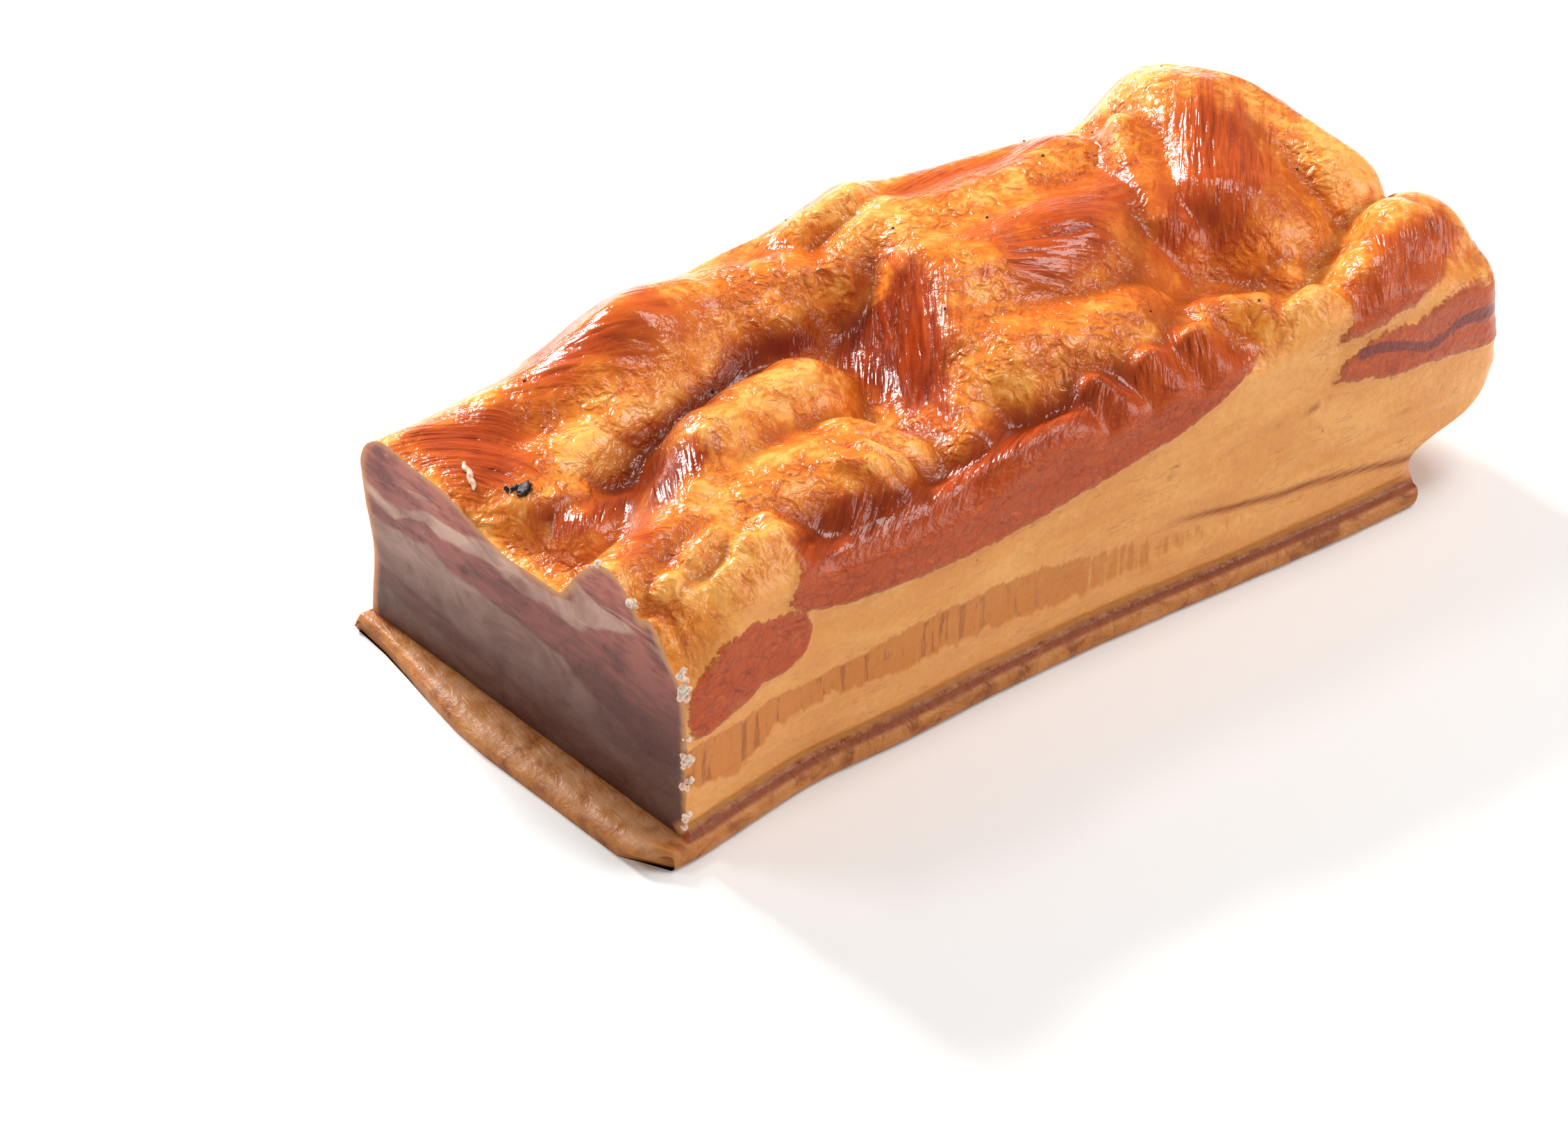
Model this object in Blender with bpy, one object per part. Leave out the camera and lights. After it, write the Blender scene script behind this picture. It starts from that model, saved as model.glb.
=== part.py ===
"""A slab of smoked pork belly, lying on its rind.

The slab is one piece of meat. Its length runs along X, its thickness along Z.
At -X it is cut straight across, a little askew. The rind under it sticks out
in front of the cut as a thin flap. At +X the meat leans out over the rind.
The top is muscle and fat in long rolls with creases between them.
Sizes are in millimetres, and the finished mesh is scaled to metres.
"""

from dataclasses import dataclass

import bmesh
import bpy
import numpy as np

NODE_NAME = "smoked_pork_belly"
MILLIMETRE = 0.001

# Driving sizes of the slab
RIND_WIDTH = 112.0
RIND_THICKNESS = 4.8
RIND_FAR_Y = 54.0
RIND_CHAMFER = 0.35
LEDGE = 3.0
LEAST_LEDGE = 0.4
FLAP_LENGTH = 12.0
FLAP_TAPER = 0.65
FLAP_CORNER = 7.0
CUT_SKEW = 14.4 / RIND_WIDTH
WALL_FAR_Y = 52.5
WALL_BULGE = 1.2
WALL_HEIGHT = 62.0
GROOVE_DEPTH = 1.6
GROOVE_HEIGHT = 6.8
GROOVE_REACH = 2.2
RIND_TO_MEAT = 6.0
WAIST_DEPTH = 2.4
WAIST_HEIGHT = 24.0
WAIST_REACH = 12.0
NEAR_SHOULDER = 5.5
FAR_SHOULDER = 11.0
END_ROUNDING = 7.0
CREASE_SOFTNESS = 1.4
NEAR_EDGE_BLEND = 9.0
FAR_EDGE_BLEND = 10.6
FAR_EDGE_BAND = 2.0
WANDER = 1.6
WANDER_LENGTH = 58.0
SMALL_WANDER = 0.5
SMALL_WANDER_LENGTH = 21.0

# The near edge of the rind seen from above, as (x, y)
RIND_NEAR_EDGE = (
    (-16, -52), (-10, -56.2), (0, -56), (18, -53.6), (36, -51.4), (60, -51.9),
    (88, -51.3), (112, -51.6), (136, -52.7), (160, -54.2), (191, -55.7), (215, -56),
)

# Height of the meat along its near and far edges, as (x, z)
NEAR_EDGE_HEIGHT = (
    (-2, 50), (5, 52), (10, 56), (16, 60), (23, 62), (30, 62), (35, 62.5), (39, 60),
    (50, 58.5), (66, 58.5), (82, 60), (96, 64), (112, 64.5), (118, 62), (123, 64.5),
    (130, 63), (137, 65.5), (144, 63.5), (150, 65.5), (158, 62.5), (166, 63),
    (180, 67), (188, 65), (197, 66), (210, 65), (222, 61), (238, 55),
)
FAR_EDGE_HEIGHT = (
    (-16, 58), (8, 58.5), (21, 60), (32, 63.5), (48, 69.5), (59, 70), (70, 68.5),
    (82, 69.5), (99, 71), (110, 74), (118, 75.5), (129, 72), (150, 68), (164, 66),
    (182, 63.5), (190, 64), (197, 69), (204, 73), (214, 73), (224, 70), (240, 62),
)

# Height of the hollows between the rolls, as (x, z)
HOLLOW_HEIGHT = ((-16, 50), (20, 50), (50, 51), (75, 55), (100, 59), (140, 62), (180, 60), (236, 58))

# The far end seen from above, as (y, x), and from the side, as (z, x added)
END_FROM_ABOVE = (
    (-56, 235), (-46, 235), (-35, 232.5), (-27, 229.5), (-14, 231), (2, 229), (20, 226), (35, 221), (54, 211),
)
END_FROM_SIDE = (
    (0, -25), (5, -23), (10, -22), (15, -19), (21, -3), (28, 2), (36, 2), (46, 0),
    (54, -1), (62, -1), (70, -2), (78, -6), (86, -12),
)


@dataclass(frozen=True)
class Roll:
    """A roll of muscle or fat: a crest from start to end, falling off to both sides."""

    start: tuple
    end: tuple
    half_width: float
    drop: float


FAR_SIDE_ROLLS = {
    "roll beside the cut": Roll((-10, 46, 59), (6, 18, 59), 14, 5),
    "far ridge rising": Roll((14, 40, 62), (50, 38, 72), 19, 10),
    "far ridge end": Roll((50, 38, 72), (66, 38, 71), 18, 10),
    "fat slope": Roll((18, 20, 59.5), (46, 24, 63), 14, 8),
    "basin": Roll((10, -2, 57), (24, -3, 56), 9, 5),
    "basin fold": Roll((4, 10, 57.5), (14, 8, 57), 6, 4),
    "valley end": Roll((70, 31, 65), (80, 26, 66), 9, 6),
    "far fat pad": Roll((80, 36, 70), (92, 34, 71.5), 11, 6),
    "far fat lobule": Roll((104, 44, 74), (116, 42, 77), 9, 8),
    "fat lobule inside": Roll((100, 28, 72), (119, 31, 76), 8, 6),
    "far lean strip": Roll((124, 43, 73), (168, 43, 69), 12, 6),
}
MIDDLE_ROLLS = {
    "fat ridge rising": Roll((19, -23, 67), (43, -7, 70.5), 11, 8),
    "fat ridge": Roll((43, -7, 70.5), (70, 2, 68.5), 12, 9),
    "fat skirt": Roll((30, -28, 66.5), (58, -24, 67.5), 14, 7),
    "fat swirl": Roll((55, -33, 66), (62, -33, 66), 9, 6),
    "fat foot": Roll((70, -18, 66), (77, -27, 63), 8, 5),
    "dome face": Roll((114, 8, 77.5), (104, -14, 73.5), 13, 14),
    "dome face foot": Roll((101, -22, 69.5), (92, -34, 64.5), 9, 6),
    "dome": Roll((122, 3, 78.5), (148, 3, 79), 22, 11),
    "dome back": Roll((148, 3, 79), (164, 6, 76), 19, 10),
    "fat patch": Roll((114, -22, 73), (140, -25, 72.5), 16, 9),
    "fat band": Roll((122, 24, 76.5), (168, 29, 74.5), 15, 8),
}
NEAR_SIDE_ROLLS = {
    "lip": Roll((-6, -30, 66), (12, -25, 66.5), 10, 8),
    "fat knob": Roll((8, -37, 63.5), (9, -37, 63.5), 5.5, 5),
    "fat knob below": Roll((10, -44, 61.5), (12, -44, 61.5), 6, 5),
    "fat knob at the cut": Roll((0, -43, 57), (2, -45, 56.5), 6, 4),
    "fat pad": Roll((16, -45, 63.5), (31, -43, 66.5), 10, 6),
    "fat pad corner": Roll((32, -46, 65), (36, -48, 63), 6, 5),
    "near roll": Roll((42, -47, 58.5), (72, -47, 60.5), 8, 5),
    "near roll rising": Roll((72, -47, 60.5), (112, -48, 65.5), 8, 6),
}
END_ROLLS = {
    "left flank": Roll((171, -8, 75), (184, 22, 80.5), 8, 7),
    "big lobe": Roll((192, -4, 78.5), (205, 25, 84), 20, 12),
    "far fat roll": Roll((188, 43, 68), (208, 41, 77), 9, 8),
    "end fat": Roll((214, 20, 79), (220, -8, 74), 13, 9),
    "right lobe": Roll((200, -42, 70), (217, -36, 73), 13, 9),
    "fat knuckle": Roll((173, -46, 67.5), (183, -46, 69), 8, 7),
    "fat beside the knuckle": Roll((159, -36, 69), (168, -40, 69), 8, 6),
}

# Three short lobes side by side on the near edge, each running inward and up
EDGE_LOBE_X = (122.0, 137.0, 150.0)
EDGE_LOBE_OUTER_Y = -51.0
EDGE_LOBE_INNER_Y = -41.0
EDGE_LOBE_OUTER_HEIGHT = 66.0
EDGE_LOBE_INNER_HEIGHT = (68.5, 70.5, 70.5)
EDGE_LOBE_HALF_WIDTH = 7.0
EDGE_LOBE_DROP = 6.5

# Looks of the smoked surface
SMOKED_BROWN = (0.56, 0.20, 0.06, 1.0)
SMOKED_ROUGHNESS = 0.38
SHARP_ANGLE = np.radians(50)

# Numbers of steps in the mesh
STEPS_ALONG = 58
STEPS_FLAP = 3
STEPS_NEAR_WALL = 9
STEPS_NEAR_SHOULDER = 3
STEPS_TOP = 29
STEPS_FAR_SHOULDER = 4
STEPS_FAR_WALL = 7
STEPS_ACROSS_RIND = 8
STEPS_END_EDGE = 3
STEPS_END_CAP = 8


def ease(low, high, value):
    """Share from 0 at low to 1 at high, with a soft start and end."""
    share = np.clip((value - low) / (high - low), 0.0, 1.0)
    return share * share * (3.0 - 2.0 * share)


def along(stations, place):
    """Read a smooth curve through (place, value) stations."""
    places = np.array([station[0] for station in stations], float)
    values = np.array([station[1] for station in stations], float)
    place = np.clip(place, places[0], places[-1])
    left = np.clip(np.searchsorted(places, place) - 1, 0, len(places) - 2)
    gap = places[left + 1] - places[left]
    share = (place - places[left]) / gap
    slope = np.gradient(values, places)
    square = share**2
    cube = share**3
    return (
        (2 * cube - 3 * square + 1) * values[left]
        + (cube - 2 * square + share) * gap * slope[left]
        + (3 * square - 2 * cube) * values[left + 1]
        + (cube - square) * gap * slope[left + 1]
    )


def edge_lobes():
    """The short lobes on the near edge, each running in from the edge."""
    lobes = []
    for x, inner_height in zip(EDGE_LOBE_X, EDGE_LOBE_INNER_HEIGHT):
        start = (x, EDGE_LOBE_OUTER_Y, EDGE_LOBE_OUTER_HEIGHT)
        end = (x, EDGE_LOBE_INNER_Y, inner_height)
        lobes.append(Roll(start, end, EDGE_LOBE_HALF_WIDTH, EDGE_LOBE_DROP))
    return lobes


def all_rolls():
    """Every roll of the top in one list."""
    rolls = []
    for group in (FAR_SIDE_ROLLS, MIDDLE_ROLLS, NEAR_SIDE_ROLLS, END_ROLLS):
        rolls.extend(group.values())
    return rolls + edge_lobes()


def roll_height(roll, x, y):
    """Height of one roll over the points (x, y): a parabola across its crest."""
    run_x = roll.end[0] - roll.start[0]
    run_y = roll.end[1] - roll.start[1]
    reach = (x - roll.start[0]) * run_x + (y - roll.start[1]) * run_y
    share = np.clip(reach / (run_x**2 + run_y**2), 0.0, 1.0)
    off_x = x - roll.start[0] - share * run_x
    off_y = y - roll.start[1] - share * run_y
    crest = roll.start[2] + share * (roll.end[2] - roll.start[2])
    return crest - roll.drop * (off_x**2 + off_y**2) / roll.half_width**2


def near_wall_foot(x):
    """Y of the near wall's foot: the rind's edge and a ledge behind it."""
    return along(RIND_NEAR_EDGE, x) + LEDGE


def wander(x, y):
    """Bend the rolls a little, so that no crest or crease runs dead straight."""
    turn = 2 * np.pi / WANDER_LENGTH
    small_turn = 2 * np.pi / SMALL_WANDER_LENGTH
    bent_x = x + WANDER * np.sin(turn * (y + 0.4 * x))
    bent_y = y + WANDER * np.sin(turn * (0.9 * x - 0.3 * y))
    bent_x = bent_x + SMALL_WANDER * np.sin(small_turn * (y - 0.3 * x))
    bent_y = bent_y + SMALL_WANDER * np.sin(small_turn * (x + 0.5 * y))
    return bent_x, bent_y


def top_height(x, y):
    """Height of the top: the highest roll at each point, with softened creases."""
    heights = [along(HOLLOW_HEIGHT, x)]
    bent_x, bent_y = wander(x, y)
    for roll in all_rolls():
        heights.append(roll_height(roll, bent_x, bent_y))
    heights = np.array(heights)
    highest = heights.max(axis=0)
    above = np.exp((heights - highest) / CREASE_SOFTNESS).sum(axis=0)
    z = highest + CREASE_SOFTNESS * np.log(above)
    near = near_wall_foot(x)
    near_share = ease(near + NEAR_EDGE_BLEND, near, y)
    far = WALL_FAR_Y - FAR_EDGE_BAND
    far_share = ease(far - FAR_EDGE_BLEND, far, y)
    z = z + near_share * (along(NEAR_EDGE_HEIGHT, x) - z)
    return z + far_share * (along(FAR_EDGE_HEIGHT, x) - z)


def cut_x(y):
    """X of the cut, which runs slightly askew across the slab."""
    return -CUT_SKEW * (y + RIND_WIDTH / 2)


def end_x(y, z):
    """X of the far end: a plan curve and the overhang seen from the side."""
    return along(END_FROM_ABOVE, y) + along(END_FROM_SIDE, z)


def near_wall_out(z):
    """How far the near wall swells out, less the groove above the rind."""
    swell = WALL_BULGE * np.sin(np.pi * np.clip(z / WALL_HEIGHT, 0.0, 1.0))
    groove = GROOVE_DEPTH * np.exp(-(((z - GROOVE_HEIGHT) / GROOVE_REACH) ** 2))
    return swell - groove


def far_wall_in(z):
    """How far the far wall draws in at its waist."""
    return WAIST_DEPTH * np.exp(-(((z - WAIST_HEIGHT) / WAIST_REACH) ** 2))


def share_on_meat(z):
    """0 on the rind and 1 on the meat above it."""
    return ease(RIND_THICKNESS, RIND_THICKNESS + RIND_TO_MEAT, z)


def place_x(share, y, z):
    """X of a point at a share of the length, between the cut and the far end."""
    front = cut_x(y)
    back = end_x(y, z) - END_ROUNDING * share_on_meat(z)
    return front + share * (back - front)


def top_at(share, y):
    """Height of the top over y at a share of the length."""
    return top_height(place_x(share, y, WALL_HEIGHT), y)


def meat_section(share):
    """Points (y, z) over the meat at a share of the length, near foot to far foot."""
    near = near_wall_foot(place_x(share, -RIND_WIDTH / 2, RIND_THICKNESS))
    far = WALL_FAR_Y
    wall_top = top_at(share, near) - NEAR_SHOULDER
    z = np.linspace(RIND_THICKNESS, wall_top, STEPS_NEAR_WALL, endpoint=False)
    near_wall = np.column_stack([near - near_wall_out(z), z])
    angle = np.linspace(0.0, np.pi / 2, STEPS_NEAR_SHOULDER, endpoint=False)
    y = near + NEAR_SHOULDER * (1 - np.cos(angle))
    z = top_at(share, y) - NEAR_SHOULDER * (1 - np.sin(angle))
    near_shoulder = np.column_stack([y - near_wall_out(z) * np.cos(angle), z])
    y = np.linspace(near + NEAR_SHOULDER, far - FAR_SHOULDER, STEPS_TOP, endpoint=False)
    top = np.column_stack([y, top_at(share, y)])
    angle = np.linspace(0.0, np.pi / 2, STEPS_FAR_SHOULDER, endpoint=False)
    y = far - FAR_SHOULDER * (1 - np.sin(angle))
    z = top_at(share, y) - FAR_SHOULDER * (1 - np.cos(angle))
    far_shoulder = np.column_stack([y, z])
    wall_top = top_at(share, far) - FAR_SHOULDER
    z = np.linspace(wall_top, RIND_THICKNESS, STEPS_FAR_WALL)
    far_wall = np.column_stack([far - far_wall_in(z), z])
    return np.concatenate([near_wall, near_shoulder, top, far_shoulder, far_wall])


def rind_section(share, near_foot, far_foot):
    """Points (y, z) round the rind, from the far ledge under the slab to the near ledge."""
    near = along(RIND_NEAR_EDGE, place_x(share, -RIND_WIDTH / 2, 0.0))
    chamfer = RIND_CHAMFER * RIND_THICKNESS
    far_side = [
        (max(RIND_FAR_Y - chamfer, far_foot + LEAST_LEDGE), RIND_THICKNESS),
        (RIND_FAR_Y, RIND_THICKNESS - chamfer),
    ]
    under = [(y, 0.0) for y in np.linspace(RIND_FAR_Y, near, STEPS_ACROSS_RIND + 1)]
    near_side = [
        (near, RIND_THICKNESS - chamfer),
        (min(near + chamfer, near_foot - LEAST_LEDGE), RIND_THICKNESS),
    ]
    return np.array(far_side + under + near_side, float)


def slab_ring(share):
    """One closed ring of points round meat and rind at a share of the length."""
    meat = meat_section(share)
    rind = rind_section(share, meat[0, 0], meat[-1, 0])
    ring = np.concatenate([meat, rind])
    return np.column_stack([place_x(share, ring[:, 0], ring[:, 1]), ring])


def end_rings(last_ring):
    """Rings that close the far end: its edge rounded over, then its face."""
    centre = last_ring[:, 1:].mean(axis=0)
    off = last_ring[:, 1:] - centre
    reach = np.linalg.norm(off, axis=1)
    on_meat = share_on_meat(last_ring[:, 2])
    rings = []
    for angle in np.linspace(0.0, np.pi / 2, STEPS_END_EDGE + 1)[1:]:
        inset = END_ROUNDING * (1 - np.cos(angle)) * on_meat
        section = centre + off * (1 - inset / reach)[:, None]
        forward = END_ROUNDING * np.sin(angle) * on_meat
        rings.append(np.column_stack([last_ring[:, 0] + forward, section]))
    rim = rings[-1]
    for step in range(1, STEPS_END_CAP):
        share = step / STEPS_END_CAP
        inner = rim[:, 1:] + (centre - rim[:, 1:]) * share
        rings.append(np.column_stack([end_x(inner[:, 0], inner[:, 1]), inner]))
    return rings


def flap_ring(step, cut_foot, rind):
    """A closed ring of the flap in front of the cut, one step further out each time."""
    ring = np.concatenate([cut_foot, rind])
    share = step / STEPS_FLAP
    y = ring[:, 1]
    length = FLAP_LENGTH * (1 - FLAP_TAPER * ease(0.0, RIND_WIDTH / 2, y))
    rounded_corner = FLAP_CORNER * share * ease(FLAP_CORNER - RIND_WIDTH / 2, -RIND_WIDTH / 2, y)
    ring[:, 0] -= share * (length - rounded_corner)
    return ring


def add_strip(mesh, first, second):
    """Join two closed rows of vertices with a strip of faces."""
    count = len(first)
    for index in range(count):
        after = (index + 1) % count
        mesh.faces.new((first[index], second[index], second[after], first[after]))


def add_flap(mesh, first_ring, first_row, meat_count):
    """Close the cut face and add the rind's flap in front of it."""
    near_y = first_ring[0, 1]
    far_y = first_ring[meat_count - 1, 1]
    foot_y = np.linspace(near_y, far_y, STEPS_ACROSS_RIND + 1)
    cut_foot = np.column_stack([cut_x(foot_y), foot_y, np.full_like(foot_y, RIND_THICKNESS)])
    between = [mesh.verts.new(point) for point in cut_foot[1:-1]]
    mesh.faces.new(first_row[:meat_count] + between[::-1])
    behind = [first_row[0]] + between + first_row[meat_count - 1 :]
    rind = first_ring[meat_count:]
    for step in range(1, STEPS_FLAP + 1):
        row = [mesh.verts.new(point) for point in flap_ring(step, cut_foot, rind)]
        add_strip(mesh, behind, row)
        behind = row
    upper = behind[: STEPS_ACROSS_RIND + 1]
    lower = behind[-3 : -4 - STEPS_ACROSS_RIND : -1]
    for index in range(STEPS_ACROSS_RIND):
        mesh.faces.new((upper[index], upper[index + 1], lower[index + 1], lower[index]))
    mesh.faces.new((upper[0], lower[0], behind[-2], behind[-1]))
    far_outer = behind[STEPS_ACROSS_RIND + 1]
    far_lower = behind[STEPS_ACROSS_RIND + 2]
    mesh.faces.new((upper[-1], far_outer, far_lower, lower[-1]))


def build_slab_mesh():
    """Build the closed mesh of the slab in millimetres."""
    mesh = bmesh.new()
    rings = [slab_ring(share) for share in np.linspace(0.0, 1.0, STEPS_ALONG + 1)]
    rings += end_rings(rings[-1])
    rows = [[mesh.verts.new(point) for point in ring] for ring in rings]
    for front, back in zip(rows, rows[1:]):
        add_strip(mesh, front, back)
    centre = mesh.verts.new(rings[-1].mean(axis=0))
    for index, vertex in enumerate(rows[-1]):
        after = rows[-1][(index + 1) % len(rows[-1])]
        mesh.faces.new((vertex, centre, after))
    add_flap(mesh, rings[0], rows[0], len(meat_section(0.0)))
    bmesh.ops.recalc_face_normals(mesh, faces=mesh.faces)
    return mesh


def smoked_meat_material():
    """Surface of the smoked slab: warm brown and a little glossy."""
    material = bpy.data.materials.new("smoked_meat")
    material.use_nodes = True
    shader = material.node_tree.nodes["Principled BSDF"]
    shader.inputs["Base Color"].default_value = SMOKED_BROWN
    shader.inputs["Roughness"].default_value = SMOKED_ROUGHNESS
    shader.inputs["Metallic"].default_value = 0.0
    return material


def add_slab():
    """Add the slab to the scene with its origin at its bottom centre."""
    mesh = build_slab_mesh()
    corners = np.array([vertex.co for vertex in mesh.verts])
    middle = (corners.min(axis=0) + corners.max(axis=0)) / 2
    shift = (-middle[0], -middle[1], -corners[:, 2].min())
    bmesh.ops.translate(mesh, verts=mesh.verts, vec=shift)
    bmesh.ops.scale(mesh, verts=mesh.verts, vec=(MILLIMETRE,) * 3)
    data = bpy.data.meshes.new(NODE_NAME)
    mesh.to_mesh(data)
    mesh.free()
    data.shade_smooth()
    data.set_sharp_from_angle(angle=SHARP_ANGLE)
    data.materials.append(smoked_meat_material())
    slab = bpy.data.objects.new(NODE_NAME, data)
    bpy.context.scene.collection.objects.link(slab)
    return slab


def main():
    """Clear the scene and build the slab."""
    for item in list(bpy.data.objects):
        bpy.data.objects.remove(item)
    add_slab()


main()
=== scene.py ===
"""Looks of a slab of smoked pork belly that lies on its rind, cut across at one end.

The slab's drawing is in millimetres: x along the slab, y across it from the near
side to the far side, z up out of the rind. The finished meshes are in metres, in
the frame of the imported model. The slab is one skin over rolls of muscle and fat;
crumbs of fat, a sinew, pepper and a charred lump lie on it.
"""

import logging
from collections.abc import Callable
from dataclasses import dataclass, field
from enum import Enum

import bmesh
import bpy
import numpy as np
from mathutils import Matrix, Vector


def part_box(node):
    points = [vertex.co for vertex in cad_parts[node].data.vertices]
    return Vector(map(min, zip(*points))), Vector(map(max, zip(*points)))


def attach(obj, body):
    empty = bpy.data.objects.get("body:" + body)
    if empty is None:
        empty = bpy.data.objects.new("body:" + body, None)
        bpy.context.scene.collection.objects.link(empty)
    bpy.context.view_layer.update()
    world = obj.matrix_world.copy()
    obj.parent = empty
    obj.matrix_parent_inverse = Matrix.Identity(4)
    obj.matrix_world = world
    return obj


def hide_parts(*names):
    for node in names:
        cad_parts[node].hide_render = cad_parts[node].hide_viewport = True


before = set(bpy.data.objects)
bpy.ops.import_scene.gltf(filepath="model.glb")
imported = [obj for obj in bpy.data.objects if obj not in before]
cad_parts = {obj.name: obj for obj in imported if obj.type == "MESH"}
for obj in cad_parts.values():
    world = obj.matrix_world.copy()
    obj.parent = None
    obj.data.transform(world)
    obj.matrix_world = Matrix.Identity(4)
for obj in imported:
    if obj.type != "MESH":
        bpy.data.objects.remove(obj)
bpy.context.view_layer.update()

NODE_NAME = "smoked_pork_belly"
BODY_NAME = "root"
MILLIMETRE = 0.001
FLAP_FRONT = -19.81
RIND_FAR_Y = 54.0

log = logging.getLogger("slab")

Points = np.ndarray
Place = tuple[float, float]
Triple = tuple[float, float, float]
Stations = tuple[Place, ...]
Face = tuple[int, ...]
Socket = bpy.types.NodeSocket


def ease(low: float, high: float, value: Points) -> Points:
    """Give a share from 0 at low to 1 at high, with a soft start and end.

    Args:
        low: Value at which the share is 0.
        high: Value at which the share is 1.
        value: Values to read.

    Returns:
        The shares.
    """
    share = np.clip((value - low) / (high - low), 0.0, 1.0)
    return share * share * (3.0 - 2.0 * share)


def bell(off: Points, width: float) -> Points:
    """Give a share that is 1 in the middle and falls off softly over a width."""
    return np.exp(-((off / width) ** 2))


def spaced(count: int, high: float = 1.0) -> Points:
    """Even steps from 0 up to high in one row, without the last."""
    return np.linspace(0.0, high, count, endpoint=False)[None, :]


def along(stations: Stations, place: Points) -> Points:
    """Read a smooth curve through stations.

    Args:
        stations: Pairs of place and value.
        place: Places to read the curve at.

    Returns:
        The values of the curve.
    """
    places, values = np.array(stations, float).T
    place = np.clip(place, places[0], places[-1])
    left = np.clip(np.searchsorted(places, place) - 1, 0, len(places) - 2)
    gap = places[left + 1] - places[left]
    share = (place - places[left]) / gap
    slope = np.gradient(values, places)
    square = share**2
    cube = share**3
    return (
        (2 * cube - 3 * square + 1) * values[left]
        + (cube - 2 * square + share) * gap * slope[left]
        + (3 * square - 2 * cube) * values[left + 1]
        + (cube - square) * gap * slope[left + 1]
    )


def linear(code: str) -> tuple[float, float, float, float]:
    """Turn an sRGB hex colour into linear light.

    Args:
        code: Six hex digits, with or without a leading #.

    Returns:
        Red, green, blue and full opacity.
    """
    code = code.lstrip("#")
    parts = [int(code[place : place + 2], 16) / 255 for place in (0, 2, 4)]
    lit = [part / 12.92 if part <= 0.04045 else ((part + 0.055) / 1.055) ** 2.4 for part in parts]
    return (lit[0], lit[1], lit[2], 1.0)


def from_line(x: Points, y: Points, start: Place, end: Place) -> tuple[Points, Points]:
    """Find the nearest places on a straight line.

    Args:
        x: First coordinates.
        y: Second coordinates.
        start: Where the line starts.
        end: Where it ends.

    Returns:
        The share of the way along the line and the distance from it.
    """
    run_x = end[0] - start[0]
    run_y = end[1] - start[1]
    length = max(run_x**2 + run_y**2, 1e-6)
    share = np.clip(((x - start[0]) * run_x + (y - start[1]) * run_y) / length, 0.0, 1.0)
    return share, np.hypot(x - start[0] - share * run_x, y - start[1] - share * run_y)


class LatticeNoise:
    """Smooth random relief in space, the same on every run."""

    def __init__(self, seed: int) -> None:
        """Prepare the lattice.

        Args:
            seed: Number that fixes the pattern.
        """
        dice = np.random.default_rng(seed)
        self.table = dice.permutation(256)
        slopes = dice.normal(size=(256, 3))
        self.slopes = slopes / np.linalg.norm(slopes, axis=1)[:, None]

    def at(self, points: Points) -> Points:
        """Read the noise.

        Args:
            points: Rows of three coordinates, one lattice cell to a unit.

        Returns:
            Values of about -1 to 1.
        """
        cell = np.floor(points).astype(int)
        inside = points - cell
        fade = inside**3 * (inside * (inside * 6 - 15) + 10)
        total = np.zeros(len(points))
        for corner in range(8):
            step = np.array([corner & 1, corner >> 1 & 1, corner >> 2 & 1])
            place = cell + step
            index = self.table[place[:, 0] & 255]
            index = self.table[(index + place[:, 1]) & 255]
            index = self.table[(index + place[:, 2]) & 255]
            rise = (self.slopes[index] * (inside - step)).sum(axis=1)
            total += rise * np.abs(1 - step - fade).prod(axis=1)
        return total * 1.6

    def layered(self, points: Points, layers: int) -> Points:
        """Add finer and weaker layers of the noise.

        Args:
            points: Rows of three coordinates.
            layers: Number of layers, each half as large and half as strong.

        Returns:
            The summed values.
        """
        total = np.zeros(len(points))
        for layer in range(layers):
            total += self.at(points * 2.0**layer + 17.3 * layer) * 0.5**layer
        return total


@dataclass(frozen=True)
class Roll:
    """A roll of muscle or fat: a crest from start to end, falling off to both sides."""

    start: Triple
    end: Triple
    half_width: float
    drop: float

    def height(self, x: Points, y: Points) -> Points:
        """Height of the roll, a parabola across its crest.

        Args:
            x: Places along the slab.
            y: Places across the slab.

        Returns:
            Heights.
        """
        share, off = from_line(x, y, self.start, self.end)
        crest = self.start[2] + share * (self.end[2] - self.start[2])
        return crest - self.drop * (off / self.half_width) ** 2


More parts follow.
